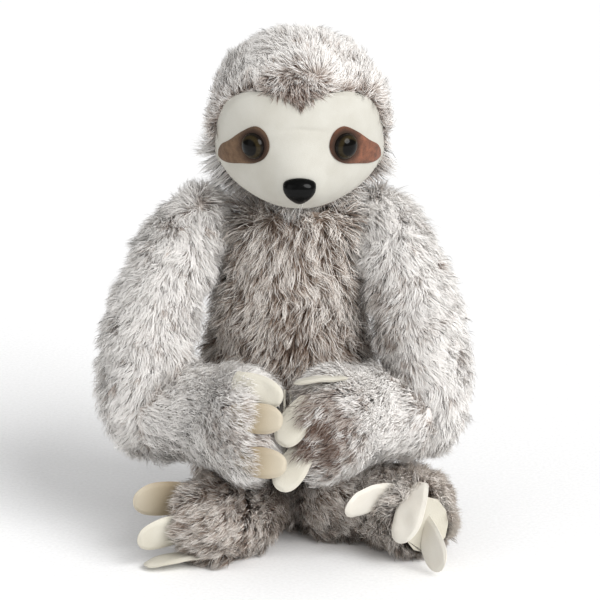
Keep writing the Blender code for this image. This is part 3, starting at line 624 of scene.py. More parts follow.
@dataclass(frozen=True)
class ClawFrame:
    """Where a felt claw lies: found from the main directions of its CAD node.

    Attributes:
        name: The claw's CAD node.
        body: The body that it rides on.
        middle: Its middle.
        way: Its direction from root to tip.
        across: Its direction across the petal.
        through: Its direction through the felt.
        half_length: Half its length.
        half_width: Half its width.
        half_thickness: Half its thickness.
        bow: How far it bows through, as a square formula of the share of its half length.
    """

    name: str
    body: str
    middle: Array
    way: Array
    across: Array
    through: Array
    half_length: float
    half_width: float
    half_thickness: float
    bow: Place

    ROOT_POINTS = 40
    ROOT_SHARE = 0.2

    @classmethod
    def of(cls, name: str, body: str, limb: str) -> ClawFrame:
        """Measure a claw's node.

        Args:
            name: The claw's CAD node.
            body: The body that it rides on.
            limb: The node that it grows from, which tells its root from its tip.

        Returns:
            Its frame.
        """
        points = Surface.of(name).points
        middle = (points.min(axis=0) + points.max(axis=0)) / 2
        ways = np.linalg.svd(points - points.mean(axis=0), full_matrices=False)[2]
        limb_points = Surface.of(limb).points
        nearest = np.linalg.norm(limb_points - middle, axis=1).argsort()[:cls.ROOT_POINTS]
        near = limb_points[nearest].mean(axis=0)
        way = ways[0] if ways[0] @ (middle - near) > 0 else -ways[0]
        across = ways[1]
        through = np.cross(way, across)
        local = (points - middle) @ np.stack([way, across, through], axis=1)
        middle = middle + np.stack([way, across]).T @ ((local.min(axis=0) + local.max(axis=0)) / 2)[:2]
        local = (points - middle) @ np.stack([way, across, through], axis=1)
        half_length = float(np.abs(local[:, 0]).max())
        bow = np.polyfit(local[:, 0] / half_length, local[:, 2], 2)
        thickness = float(np.abs(local[:, 2] - np.polyval(bow, local[:, 0] / half_length)).max())
        return cls(name, body, middle, way, across, through, half_length, float(np.abs(local[:, 1]).max()),
                   thickness, tuple(bow))

    def local(self, points: Array) -> Array:
        """Turn places into the claw's own directions.

        Args:
            points: Places, one row each.

        Returns:
            Distances along, across and out of the bowed petal from its middle.
        """
        local = (points - self.middle) @ np.stack([self.way, self.across, self.through], axis=1)
        local[:, 2] -= np.polyval(self.bow, local[:, 0] / self.half_length)
        return local

    def holds(self, points: Array, margin: float) -> Array:
        """Tell which points lie in the box of the claw's free part.

        Args:
            points: Places, one row each.
            margin: How much larger than the claw the box is.

        Returns:
            True for each place inside.
        """
        local = self.local(points)
        sizes = np.array([self.half_length, self.half_width, self.half_thickness]) + margin
        return np.all(np.abs(local) < sizes, axis=1) & (local[:, 0] > -self.ROOT_SHARE * self.half_length)


@dataclass(frozen=True)
class ClawMaker:
    """Shapes felt claws: two petals of felt sewn round their edge and lightly filled.

    Attributes:
        rows: Rings along a claw.
        columns: Points round it.
        seam_width: Distance of the stitches from the edge.
        seam_dip: How far they pull the felt in.
        flange: Half thickness at the edge.
        crease_depth: Height of the ripples.
        crease_length: Mean length of one.
        root_width_share: Width at the root, as a share of the widest.
        widest_share: Where the claw is widest, as a share of its length.
        tip_share: Share of its length over which it narrows to its tip.
        root_share: Share of its length over which its root is rounded.
    """

    rows: int = 44
    columns: int = 48
    seam_width: float = 1.5 * MM
    seam_dip: float = 0.12 * MM
    flange: float = 0.35 * MM
    crease_depth: float = 0.35 * MM
    crease_length: float = 16 * MM
    root_width_share: float = 0.62
    widest_share: float = 0.58
    tip_share: float = 0.48
    root_share: float = 0.07

    def outline(self, share: Array) -> Array:
        """Half width of the petal along its length, as a share of its widest.

        It widens from its root as a quarter sine up to widest_share. Its tip narrows as
        (1 - t^2.6)^(1/2.2) of the share t of tip_share, and its root is rounded in the same way.

        Args:
            share: Place along the claw, 0 at its root and 1 at its tip.

        Returns:
            The half widths.
        """
        widening = np.sin(np.clip(share / self.widest_share, 0, 1) * math.pi / 2)
        body = self.root_width_share + (1.0 - self.root_width_share) * widening
        tip = np.clip((share - (1.0 - self.tip_share)) / self.tip_share, 0.0, 1.0)
        root = np.clip(1.0 - share / self.root_share, 0.0, 1.0)
        return body * (1.0 - tip ** 2.6) ** (1 / 2.2) * (1.0 - root ** 2.2) ** 0.5

    def build(self, claw: ClawFrame, finish: bpy.types.Material, rng: np.random.Generator) -> None:
        """Make one claw.

        The petal is a lens in section: its half thickness falls from the middle to the sewn edge as
        (1 - s^4)^0.5 of the share s of the half width, dips where the stitches pull it in, and
        ends in a thin flange. Broad ripples crease it.

        Args:
            claw: Where it lies.
            finish: The felt.
            rng: Source of the random draws.
        """
        share = (0.5 - 0.5 * np.cos(np.linspace(0.0, math.pi, self.rows)))[:, None]
        angle = (np.arange(self.columns) / self.columns * math.tau)[None, :]
        half_width = self.outline(share) * claw.half_width
        sideways = np.sign(np.cos(angle)) * np.abs(np.cos(angle)) ** 0.8
        inside = np.clip(1.0 - np.abs(sideways), 0.0, 1.0) * half_width
        edge = np.minimum(inside, np.minimum(share, 1.0 - share) * 2 * claw.half_length)
        lens = np.sqrt(np.clip(1.0 - sideways ** 4, 0.0, 1.0))
        thick = claw.half_thickness * lens * (0.5 + 0.4 * self.outline(share))
        stitch = self.seam_dip * np.exp(-((edge - self.seam_width) / (0.5 * self.seam_width)) ** 2)
        flange = self.flange * np.minimum(1.0, np.sqrt(np.clip(1.0 - sideways ** 2, 0, 1)) * 3)
        thick = np.maximum(thick * smoothstep(-0.6 * MM, 2.4 * MM, edge) - stitch, flange)
        along = (2.0 * share - 1.0) * claw.half_length + 0.0 * angle
        out = np.polyval(claw.bow, along / claw.half_length) + np.sign(np.sin(angle)) * thick
        points = (claw.middle + along[..., None] * claw.way + (sideways * half_width)[..., None] * claw.across
                  + out[..., None] * claw.through)
        ripple = Ripple(rng, self.crease_length)
        flat = points.reshape(-1, 3)
        flat = flat + claw.through * (self.crease_depth * ripple.at(flat))[:, None]
        flat[:, 2] = np.maximum(flat[:, 2], FLOOR_GAP)
        uv = np.stack(np.broadcast_arrays(angle / math.tau, share), axis=-1).reshape(-1, 2)
        made = mesh_object(f"{claw.name}_felt", flat, [grid_quads(self.rows, self.columns, True)], uv)
        dress(made, finish, Slot.FELT, claw.body, claw.name)


# The head's form


@dataclass(frozen=True)
class HeadForm:
    """The stuffed head: an ellipsoid drawn forward by a bell-shaped muzzle, as in the CAD.

    Attributes:
        centre: Middle of the ellipsoid.
        half: Its half sizes.
        reach: How far the muzzle comes forward.
        sag: How far it sinks.
        spread: Width of its bell.
        drop: How far below the middle its top is.
    """

    centre: Place = (7.5 * MM, -10 * MM, 276 * MM)
    half: Place = (57 * MM, 52 * MM, 55 * MM)
    reach: float = 15 * MM
    sag: float = 8 * MM
    spread: float = 27 * MM
    drop: float = 33 * MM

    RIM_SHARE = 0.004
    ROUNDS = 4

    def surface(self, across: Array, up: Array, offset: Array | float) -> Array:
        """Place points on the head's front.

        Args:
            across: Distance to the viewer's right of the head's middle.
            up: Height above it.
            offset: How far outside the stuffed surface.

        Returns:
            One point per place.
        """
        offset = np.broadcast_to(offset, across.shape)
        side = across / (self.half[0] + offset)
        rise = up / (self.half[2] + offset)
        forward = -np.sqrt(np.clip(1.0 - side ** 2 - rise ** 2, self.RIM_SHARE, 1.0))
        bare = np.stack([side * self.half[0], forward * self.half[1], rise * self.half[2]], axis=-1)
        away = (bare[..., 0] ** 2 + (bare[..., 2] + self.drop) ** 2) / self.spread ** 2
        bulge = np.exp(-away) * np.maximum(0.0, -forward)
        way = np.stack([side, forward, rise], axis=-1)
        drawn = bulge[..., None] * np.array([0.0, -self.reach, -self.sag])
        return np.array(self.centre) + bare + way * offset[..., None] + drawn

    def seen_at(self, across: Array, height: Array, offset: Array | float) -> Array:
        """Place points on the head's front where they are seen from the front, sagged muzzle included.

        The place that sags to each height is found by rounds of correction.

        Args:
            across: Distance to the viewer's right of the head's middle.
            height: Height above it at which each point has to lie.
            offset: How far outside the stuffed surface.

        Returns:
            One point per place.
        """
        up = height
        for _ in range(self.ROUNDS):
            up = up + height - (self.surface(across, up, offset)[..., 2] - self.centre[2])
        return self.surface(across, up, offset)


# Right half of the panel's edge from the brow's middle to the chin, as shares of its half width and height
FACE_EDGE_SHARES = (
    (0.00, 0.90), (0.13, 0.95), (0.36, 1.00), (0.64, 0.99), (0.87, 0.88), (0.99, 0.67),
    (1.00, 0.45), (0.90, 0.27), (0.66, 0.11), (0.34, 0.02), (0.00, 0.00),
)
# Right patch's edge from its inner end over the top, as shares of its length and height
PATCH_EDGE_SHARES = (
    (0.00, 0.52), (0.09, 0.86), (0.30, 1.00), (0.58, 0.80), (0.84, 0.48), (0.98, 0.31), (1.02, 0.16),
    (1.02, 0.02), (0.98, -0.11), (0.84, -0.14), (0.55, -0.06), (0.26, 0.01), (0.07, 0.20),
)


def dome_profile(rings: int, height: float, power: float, wall: float, hem: float) -> Array:
    """Section of a moulded dome on its shank.

    For t from 0 to 90 degrees the dome is sin(t) of the outline wide and cos(t)^power of its height
    high. A short wall, a hem turned in and the shank follow below it.

    Args:
        rings: How many rings the dome has.
        height: Its height.
        power: The power of the cosine.
        wall: Depth of the wall.
        hem: Depth of the hem.

    Returns:
        Rows of (share of the outline, height), from the crown to the shank.
    """
    turn = np.linspace(0.0, math.pi / 2, rings)
    dome = np.stack([np.sin(turn), np.cos(turn) ** power * height], axis=1)
    dome[0, 0] = 0.002
    return np.concatenate([dome, [[1.0, -wall], [0.9, -hem], [0.25, -hem], [0.25, -9 * MM]]])


def closed_curve(knots: Array, count: int) -> Array:
    """Run a smooth closed curve through knots, as a Catmull-Rom spline.

    Args:
        knots: One row per knot.
        count: How many points to place.

    Returns:
        The points, evenly by knot.
    """
    place = np.arange(count) / count * len(knots)
    index = place.astype(int)
    share = (place - index)[:, None]
    before, start, end, after = (knots[(index + step) % len(knots)] for step in (-1, 0, 1, 2))
    return 0.5 * (2 * start + (end - before) * share + (2 * before - 5 * start + 4 * end - after) * share ** 2
                  + (3 * start - before - 3 * end + after) * share ** 3)


@dataclass(frozen=True)
class Face:
    """The face: cream panel, brown patches, eyes and nose.

    Places on it are distances to the viewer's right of the head's middle and above it.
    """

    form: HeadForm = field(default_factory=HeadForm)
    half_width: float = 53.5 * MM
    height: float = 73 * MM
    chin_drop: float = 51 * MM
    eye_out: float = 29 * MM
    eye_drop: float = 10 * MM
    eye_radius: float = 8.5 * MM
    eye_dome: float = 6.5 * MM
    patch_inner: float = 19 * MM
    patch_length: float = 31 * MM
    patch_height: float = 23 * MM
    nose_drop: float = 31 * MM
    nose_half: tuple[float, float] = (10 * MM, 9.5 * MM)
    nose_dome: float = 8.5 * MM
    nose_taper: float = 0.36
    panel_proud: float = 0.8 * MM
    patch_proud: float = 1.3 * MM
    panel_rows: int = 70
    patch_rows: int = 24
    columns: int = 144

    def outline(self) -> Array:
        """The panel's edge about the head's middle.

        Returns:
            Points across and up, in order round the panel.
        """
        right = np.array(FACE_EDGE_SHARES) * [self.half_width, self.height] - [0.0, self.chin_drop]
        left = right[-2:0:-1] * [-1.0, 1.0]
        return closed_curve(np.concatenate([right, left]), self.columns)

    def patch_outline(self, side: int) -> Array:
        """An eye patch's edge about the head's middle.

        Args:
            side: -1 for the viewer's left, 1 for the right.

        Returns:
            Points across and up, in order round the patch.
        """
        loop = np.array(PATCH_EDGE_SHARES) * [self.patch_length, self.patch_height]
        loop = loop + [self.patch_inner, -self.eye_drop - self.patch_height / 2]
        return closed_curve(loop * [side, 1.0], self.columns)

    def edge_distance(self, points: Array) -> Array:
        """Measure how far points are from the panel's edge, seen from the front.

        Args:
            points: Places, one row each.

        Returns:
            One distance per place; places behind the head's middle count as far off.
        """
        flat = points[:, [0, 2]] - np.array(self.form.centre)[[0, 2]]
        apart = np.sqrt(((flat[:, None] - self.outline()[None]) ** 2).sum(axis=2)).min(axis=1)
        return np.where(points[:, 1] < self.form.centre[1], apart, 1.0)

    def covers(self, points: Array, margin: Array | float, depth: float = 4 * MM) -> Array:
        """Tell which points lie on or before the face panel, seen from the front.

        Args:
            points: Places, one row each.
            margin: How far inside the edge a place has to be.
            depth: How far behind the panel's surface still counts.

        Returns:
            True for each place that does.
        """
        edge = self.outline()
        flat = points[:, [0, 2]] - np.array(self.form.centre)[[0, 2]]
        after = np.roll(edge, -1, axis=0)
        crossing = (edge[None, :, 1] > flat[:, None, 1]) != (after[None, :, 1] > flat[:, None, 1])
        rise = np.where(after[:, 1] == edge[:, 1], 1e-9, after[:, 1] - edge[:, 1])
        at = edge[None, :, 0] + (flat[:, None, 1] - edge[None, :, 1]) / rise * (after[:, 0] - edge[:, 0])
        inside = (crossing & (flat[:, None, 0] < at)).sum(axis=1) % 2 == 1
        apart = np.sqrt(((flat[:, None] - edge[None]) ** 2).sum(axis=2)).min(axis=1)
        front = points[:, 1] < self.form.seen_at(flat[:, 0], flat[:, 1], 0.0)[:, 1] + depth
        return np.where(margin >= 0, inside & (apart > margin), inside | (apart < -margin)) & front

    def ring_shares(self, rows: int) -> Array:
        """Space a shape's rings from its middle to its edge, closer together near the edge."""
        return np.linspace(0.0, 1.0, rows) ** 0.8

    def fill(self, name: str, edge: Array, middle: Array, rows: int, lift: Array) -> bpy.types.Object:
        """Make a sewn-down cloth shape that follows the head inside an edge.

        Rings run from the middle to the edge, closer together near it. The last two turn inwards.

        Args:
            name: Name of the object.
            edge: Points across and up round the shape.
            middle: Its middle, across and up.
            rows: How many rings.
            lift: Offset from the stuffed surface for each ring.

        Returns:
            The object.
        """
        share = np.concatenate([self.ring_shares(rows), [1.0, 1.0]])
        lift = np.concatenate([lift, [lift[-1] - 0.8 * MM, lift[-1] - 2.0 * MM]])
        flat = middle + share[:, None, None] * (edge - middle)
        flat[0] += 1e-6 * (edge - middle)
        points = self.form.seen_at(flat[..., 0], flat[..., 1], lift[:, None] + 0.0 * flat[..., 0])
        uv = np.stack(np.broadcast_arrays(np.linspace(0, 1, len(edge))[None], share[:, None]), axis=-1)
        quads = grid_quads(len(share), len(edge), True)
        return mesh_object(name, points.reshape(-1, 3), [quads], uv.reshape(-1, 2))

    def normal(self, across: float, up: float, offset: float) -> tuple[Array, Array]:
        """Find a point on the head's front and the direction out of it.

        Args:
            across: Distance to the viewer's right of the head's middle.
            up: Height above it.
            offset: How far outside the stuffed surface.

        Returns:
            The point and its outward direction.
        """
        step = 0.5 * MM
        places = np.array([[0, 0], [step, 0], [-step, 0], [0, step], [0, -step]]) + [across, up]
        found = self.form.surface(places[:, 0], places[:, 1], offset)
        return found[0], unit(np.cross(found[1] - found[2], found[3] - found[4]))

    def button(
        self, name: str, across: float, up: float, offset: float, profile: Array, shape: Array
    ) -> bpy.types.Object:
        """Make a moulded dome that sits on the face.

        Args:
            name: Name of the object.
            across: Its middle to the viewer's right of the head's.
            up: Its middle above the head's.
            offset: How far outside the stuffed surface it sits.
            profile: Rows of (share of the outline, height), from the crown to the skirt.
            shape: The outline round the dome, sideways and up, in metres.

        Returns:
            The object.
        """
        foot, out = self.normal(across, up, offset)
        side = unit(np.cross(np.array([0.0, 0.0, 1.0]), out)) * -1.0
        above = np.cross(side, out) * -1.0
        above = above if above[2] > 0 else -above
        rings = profile[:, 0][:, None, None] * shape[None]
        points = foot + rings[..., :1] * side + rings[..., 1:] * above + profile[:, 1][:, None, None] * out
        turn = np.arange(len(shape)) / len(shape)
        uv = np.stack(np.broadcast_arrays(turn[None], profile[:, :1]), axis=-1)
        quads = grid_quads(len(profile), len(shape), True)
        return mesh_object(name, points.reshape(-1, 3), [quads], uv.reshape(-1, 2))

    def build(self) -> None:
        """Make every piece of the face."""
        self.build_panel()
        gloss = EyeFinish("eye_iris").build()
        for side, label in SIDES:
            self.build_patch(side, label)
            self.build_eye(side, label, gloss)
        self.build_nose()

    def build_panel(self) -> None:
        """Make the cream panel, its edge turned in to the head."""
        cream = ClothFinish("face_plush_nap", (0.585, 0.57, 0.515), (0.52, 0.50, 0.44), 1500.0, 0.45, 0.1)
        share = self.ring_shares(self.panel_rows)
        hem = 0.2 * MM * smoothstep(0.8, 0.95, share)
        lift = self.panel_proud - 1.6 * MM * smoothstep(0.93, 1.0, share) + hem
        panel = self.fill("face_cloth", self.outline(), np.array([0.0, -12 * MM]), self.panel_rows, lift)
        self.crease(panel)
        dress(panel, cream.build(), Slot.FACE, "head", "face_panel")

    def build_patch(self, side: int, label: str) -> None:
        """Make an eye patch, dark round the eye.

        Args:
            side: -1 for the viewer's left, 1 for the right.
            label: "left" or "right".
        """
        if side < 0:
            colours = (0.20, 0.125, 0.075), (0.11, 0.068, 0.042)
        else:
            colours = (0.27, 0.11, 0.065), (0.11, 0.055, 0.038)
        middle = np.array([side * (self.eye_out + 2 * MM), -self.eye_drop])
        hem = 0.7 * MM * smoothstep(0.85, 1.0, self.ring_shares(self.patch_rows))
        lift = self.panel_proud + self.patch_proud - hem
        patch = self.fill(f"eye_patch_cloth_{label}", self.patch_outline(side), middle, self.patch_rows, lift)
        self.crease(patch)
        ring, _ = self.normal(side * self.eye_out, -self.eye_drop, 2 * MM)
        ring = tuple(map(float, ring))
        brown = ClothFinish(f"patch_nap_{label}", *colours, 900.0, 1.0, 0.1, 240.0, ring=ring)
        dress(patch, brown.build(), Slot.PATCH, "head", f"eye_patch_{label}")

    def build_eye(self, side: int, label: str, gloss: bpy.types.Material) -> None:
        """Make an eye: a dome with a shank.

        Args:
            side: -1 for the viewer's left, 1 for the right.
            label: "left" or "right".
            gloss: Its finish.
        """
        profile = dome_profile(18, self.eye_dome, 1.0, 1.0 * MM, 1.4 * MM)
        turn = np.arange(48) / 48 * math.tau
        ring = np.stack([np.cos(turn), np.sin(turn)], axis=1) * self.eye_radius
        eye = self.button(f"eye_dome_{label}", side * self.eye_out, -self.eye_drop, 1.5 * MM, profile, ring)
        dress(eye, gloss, Slot.EYE, "head", f"eye_{label}")

    def crease(self, panel: bpy.types.Object) -> None:
        """Press a fold across the bridge of the nose and a dart below the brow, and pull down the jowls.

        Below the eyes the cloth widens by the share widened, and hangs lower the further it stands
        forward and to the side.

        Args:
            panel: The face cloth or an eye patch.
        """
        widened, hung, hung_aside, far_aside = 0.11, 0.15, 0.10, 40 * MM
        count = len(panel.data.vertices)
        points = np.empty(count * 3, dtype=np.float32)
        panel.data.vertices.foreach_get("co", points)
        points = points.reshape(-1, 3).astype(float)
        local = points - np.array(self.form.centre)
        across, forward, up = local[:, 0], -local[:, 1], local[:, 2]
        bridge = np.exp(-((up - 1 * MM + 0.12 * np.abs(across)) / (1.6 * MM)) ** 2)
        bridge *= np.exp(-((across - 3 * MM) / (15 * MM)) ** 2)
        dart = np.exp(-(across / (1.2 * MM)) ** 2) * smoothstep(6 * MM, 16 * MM, up)
        cheek = np.exp(-((np.abs(across) - 16 * MM) / (3 * MM)) ** 2)
        cheek *= np.exp(-((up + 30 * MM) / (9 * MM)) ** 2)
        points[:, 1] += 0.8 * MM * bridge + 0.9 * MM * dart + 0.5 * MM * cheek
        low = smoothstep(8 * MM, 40 * MM, -up)
        points[:, 0] += widened * low * across
        jowl = 0.7 * low * smoothstep(5 * MM, 40 * MM, forward)
        points[:, 2] += (hung + hung_aside * (across / far_aside) ** 2) * jowl * up
        panel.data.vertices.foreach_set("co", points.astype(np.float32).ravel())

    def build_nose(self) -> None:
        """Make the nose: a dome on an ellipse that narrows towards the mouth."""
        black = SmoothFinish("nose_black", (0.003, 0.003, 0.003), 0.3, 0.2, 0.02, 0.04).build()
        turn = np.arange(56) / 56 * math.tau
        wide, tall = np.cos(turn), np.sin(turn)
        wide = wide * self.nose_half[0] * (1.0 + self.nose_taper * tall)
        shape = np.stack([wide, tall * self.nose_half[1]], axis=1)
        profile = dome_profile(20, self.nose_dome, 0.8, 1.5 * MM, 2.4 * MM)
        nose = self.button("nose_dome", 0.0, -self.nose_drop, 1.1 * MM, profile, shape)
        dress(nose, black, Slot.NOSE, "head", "nose")


# Fur


@dataclass(frozen=True)
class Shade:
    """A round area in which the fur is darker, or lighter with a negative amount."""

    centre: Place
    radius: float
    amount: float

    def at(self, points: Array) -> Array:
        """Read how much darker the fur is.

        Args:
            points: Places, one row each.

        Returns:
            The amount, falling off as a bell from the centre.
        """
        away = ((points - np.array(self.centre)) ** 2).sum(axis=1) / self.radius ** 2
        return self.amount * np.exp(-away)


class Pile(Enum):
    """Colour of the pile: the dark body's or the pale limbs' and head's."""

    DARK = "body_pile"
    PALE = "arm_pile"


@dataclass(frozen=True)
class Coat:
    """The long pile of one stuffed piece.

    Attributes:
        node: CAD node of the stuffed piece.
        body: The body that it rides on.
        slot: Its slot in the record.
        comb: Which way the fur is combed.
        pile: Its colours.
        strands: How many strands are tried.
        length: Mean length of a strand.
        inset: How far below the CAD surface the strands start.
        lift: How steeply they rise.
        width: Mean width of a strand.
        clump: Size of a lock.
        gather: How far a tip moves to its lock's middle.
        lean: How far the locks lean at random.
        swirl: How far the comb wanders.
        mottle: How much the tones differ from lock to lock and from strand to strand.
        speck: How much darker one lock in 25 is.
        ruff: Heights where the fur starts to grow longer and where it is longest, and by what share.
        tone: Mean tone, as tones explains it.
        shades: Darker or paler areas.
        tufts: Areas with longer fur.
        bare: Middle and radius of each ball that is kept free of fur.
        beside: Nodes whose surfaces close off the places close to them.
        hidden: Share of the strands that still grow in such places.
        pad: The felt pad that the fur stays clear of, if any.
        pad_clear: How much of the pad is clear, as the square of a share of its size.
    """

    node: str
    body: str
    slot: Slot
    comb: Place
    pile: Pile = Pile.DARK
    strands: int = 64000
    length: float = 17 * MM
    inset: float = 7 * MM
    lift: float = 0.62
    width: float = 0.36 * MM
    clump: float = 4.5 * MM
    gather: float = 0.55
    lean: float = 0.26
    swirl: float = 1.0
    mottle: float = 1.0
    speck: float = 0.0
    ruff: Place = (0.0, 0.0, 0.0)
    tone: float = 0.5
    shades: tuple[Shade, ...] = ()
    tufts: tuple[Shade, ...] = ()
    bare: tuple[tuple[Place, float], ...] = ()
    beside: tuple[str, ...] = ()
    hidden: float = 0.0
    pad: str = ""
    pad_clear: float = 0.9

    LEVELS = (0.0, 0.55, 1.0)
    WIDTHS = (1.0, 0.8)
    SWIRLS = ((0.55, 45 * MM), (0.35, 15 * MM))
    PLACE_LENGTH, STRAND_LENGTH = 0.22, 0.16
    SHORTEST, LONGEST = 0.45, 1.35
    CLAW_COMB, CLAW_LENGTH, CLAW_LIFT = 1.5, 0.3, 1.3
    RUFF_LIFT, STRAND_LIFT = 0.9, 0.18
    LOCK_WARP, LOCK_WAVES = 0.35, 3.1
    STRAY, CURL, ROOT_BEND = 0.16, 0.05, 0.55
    REST_GAP, REST_SPREAD = 0.4 * MM, 0.6 * MM
    PLACE_TONE, LOCK_TONE, STRAND_TONE, SHADE_TONE = 0.10, 0.06, 0.13, 0.5
    FACE_EDGE_TONE, FACE_EDGE_REACH = 0.35, 5 * MM
    SPECKED_SHARE = 0.04
    SKIN_GAP = 0.3 * MM
    SKIN_LEVEL = 0.25
    CLAW_GAP = 0.6 * MM
    NEAR_REACH = 12 * MM

    def grow(
        self, finish: bpy.types.Material, claws: list[ClawFrame], face: Face, rng: np.random.Generator
    ) -> None:
        """Grow the strands and the skin under them.

        Each strand leaves the skin along a mix of its normal and the comb's direction, bends towards
        the comb and towards the tip of the lock it belongs to, and tapers to a point.

        Args:
            finish: The fur.
            claws: Claws that the strands keep clear of.
            face: The face, which they keep clear of.
            rng: Source of the random draws.
        """
        surface = Surface.of(self.node, self.beside, self.hidden)
        roots, normals, depth = surface.scatter(rng, self.strands)
        roots = roots - normals * np.minimum(self.inset, depth)[:, None]
        comb = np.broadcast_to(np.array(self.comb), roots.shape)
        if self.node == "head":
            comb = self.head_comb(roots, face)
        rooted, claw_way = self.claw_roots(roots, claws)
        swirl = sum(weight * RippleField(rng, length).at(roots) for weight, length in self.SWIRLS)
        comb = (comb + self.swirl * swirl) * (1.0 - rooted) + self.CLAW_COMB * claw_way
        comb = unit(comb - normals * (comb * normals).sum(axis=1, keepdims=True))
        uneven = self.PLACE_LENGTH * Ripple(rng, 20 * MM).at(roots)
        grown = self.length * (1.0 + uneven + self.STRAND_LENGTH * rng.normal(size=len(roots)))
        low, high, growth = self.ruff
        ruffed = smoothstep(low, high, roots[:, 2]) if growth else np.zeros(len(roots))
        grown = np.clip(grown, self.SHORTEST * self.length, self.LONGEST * self.length)
        grown = (grown * (1.0 + growth * ruffed))[:, None]
        for tuft in self.tufts:
            grown = grown * (1.0 + tuft.at(roots)[:, None])
        grown = grown * (1.0 + self.CLAW_LENGTH * rooted)
        warp = RippleField(rng, self.LOCK_WAVES * self.clump).at(roots)
        warped = roots + self.LOCK_WARP * self.clump * warp
        cell = np.floor(warped / self.clump).astype(np.int64)
        _, lock = np.unique(cell, axis=0, return_inverse=True)
        lock = lock.ravel()
        locks = lock.max() + 1
        members = np.bincount(lock, minlength=locks)[:, None]
        lock_lean = rng.normal(scale=self.lean, size=(locks, 3))
        steeper = 1.0 + self.RUFF_LIFT * ruffed[:, None] + self.CLAW_LIFT * rooted
        lift = self.lift * (1.0 + self.STRAND_LIFT * rng.normal(size=(len(roots), 1))) * steeper
        stray = self.STRAY * rng.normal(size=roots.shape)
        way = unit(normals * lift + comb * (1.0 - 0.35 * lift) + lock_lean[lock] + stray)
        tips = roots + way * grown
        sums = [np.bincount(lock, weights=tips[:, axis], minlength=locks) for axis in range(3)]
        lock_tips = np.stack(sums, axis=1) / members
        pull = self.gather * rng.uniform(0.5, 1.2, size=(len(roots), 1))
        curl = rng.normal(scale=self.CURL, size=(len(roots), 3)) * grown
        levels = np.array(self.LEVELS)[None, :, None]
        rise = (normals * self.ROOT_BEND * grown)[:, None] * levels * (1.0 - levels)
        drawn = ((lock_tips[lock] - tips) * pull)[:, None] * levels ** 2
        spine = roots[:, None] + rise + (way * grown)[:, None] * levels
        spine = spine + drawn + curl[:, None] * np.sin(levels * math.pi)
        resting = self.REST_GAP + self.REST_SPREAD * rng.random((len(roots), 1))
        spine[:, :, 2] = np.maximum(spine[:, :, 2], resting)
        kept = self.allowed(spine, claws, face)
        tones = self.tones(roots, lock, locks, face, rng)
        self.strand_mesh(spine[kept], normals[kept], tones[kept], finish, rng)
        self.skin(surface, finish)
        LOG.info("%s: %d strands in %d locks", self.node, int(kept.sum()), locks)

    def claw_roots(self, roots: Array, claws: list[ClawFrame]) -> tuple[Array, Array]:
        """Find the strands that rise round the roots of this piece's claws and fall over them.

        Args:
            roots: Where the strands start.
            claws: Every claw.

        Returns:
            A weight from 0 to 1 per strand, and the claws' directions times that weight.
        """
        weight, way = np.zeros((len(roots), 1)), np.zeros((len(roots), 3))
        for claw in claws:
            if claw.body != self.node:
                continue
            local = claw.local(roots) / [claw.half_length, claw.half_width, self.NEAR_REACH]
            near = np.exp(-((local[:, :1] + 0.75) / 0.45) ** 2 - (local[:, 1:2] / 1.2) ** 2)
            near = near * (np.abs(local[:, 2:]) < 1.0)
            weight = np.maximum(weight, near)
            way = way + near * claw.way
        return weight, way

    def head_comb(self, roots: Array, face: Face) -> Array:
        """Direction of the head's fur: away from the face, down over the back, and down over the brow.

        Args:
            roots: Where the strands start.
            face: The face.

        Returns:
            One direction per strand.
        """
        centre = np.array(face.form.centre)
        local = roots - centre
        away = local - np.array([0.0, -30 * MM, -8 * MM])
        back = smoothstep(-5 * MM, 40 * MM, local[:, 1])[:, None]
        low = smoothstep(5 * MM, 35 * MM, -local[:, 2])[:, None]
        combed = unit(away) * (1.0 - 0.6 * back) + np.array([0.0, 0.25, -0.9]) * back
        combed = combed + low * np.array([0.0, 0.0, -0.6])
        fringe = np.exp(-((local[:, :1] + 2 * MM) / (20 * MM)) ** 2)
        fringe = fringe * smoothstep(25 * MM, 40 * MM, -local[:, 1:2])
        fringe = fringe * smoothstep(40 * MM, 28 * MM, local[:, 2:])
        return combed * (1.0 - fringe) + fringe * np.array([0.0, -0.5, -1.0])

    def allowed(self, spine: Array, claws: list[ClawFrame], face: Face) -> Array:
        """Tell which strands keep clear of the claws, the felt pad, the face and the bare places.

        Args:
            spine: Points of each strand.
            claws: The claws.
            face: The face.

        Returns:
            True for each strand that is kept.
        """
        kept = np.ones(len(spine), dtype=bool)
        for claw in claws:
            for level in range(spine.shape[1]):
                kept &= ~claw.holds(spine[:, level], self.CLAW_GAP)
        for centre, radius in self.bare:
            kept &= np.linalg.norm(spine[:, 0] - np.array(centre), axis=1) > radius
        if self.pad:
            kept &= ~self.over_pad(spine)
        root, bend, tip = spine[:, 0], spine[:, 1], spine[:, 2]
        if self.node == "head":
            rise = (tip[:, 2] - face.form.centre[2]) / MM
            margin = np.interp(rise, (-45.0, -25.0, 0.0, 5.0), (-3.0, 1.0, 1.0, 7.0)) * MM
            kept &= ~(face.covers(root, -0.5 * MM) | face.covers(bend, 2.5 * MM) | face.covers(tip, margin))
        if self.node == "torso":
            kept &= ~(face.covers(bend, -4 * MM) | face.covers(tip, -4 * MM))
        return kept

    def over_pad(self, spine: Array) -> Array:
        """Tell which strands pass over the felt pad.

        Args:
            spine: Points of each strand.

        Returns:
            True for each strand that does.
        """
        pad = Surface.of(self.pad).points
        middle = pad.mean(axis=0)
        ways = np.linalg.svd(pad - middle, full_matrices=False)[2].T
        reach = np.abs((pad - middle) @ ways).max(axis=0)
        local = (spine - middle) @ ways
        over = ((local / reach)[..., :2] ** 2).sum(axis=-1) < self.pad_clear
        return (over & (np.abs(local[..., 2]) < self.NEAR_REACH)).any(axis=1)

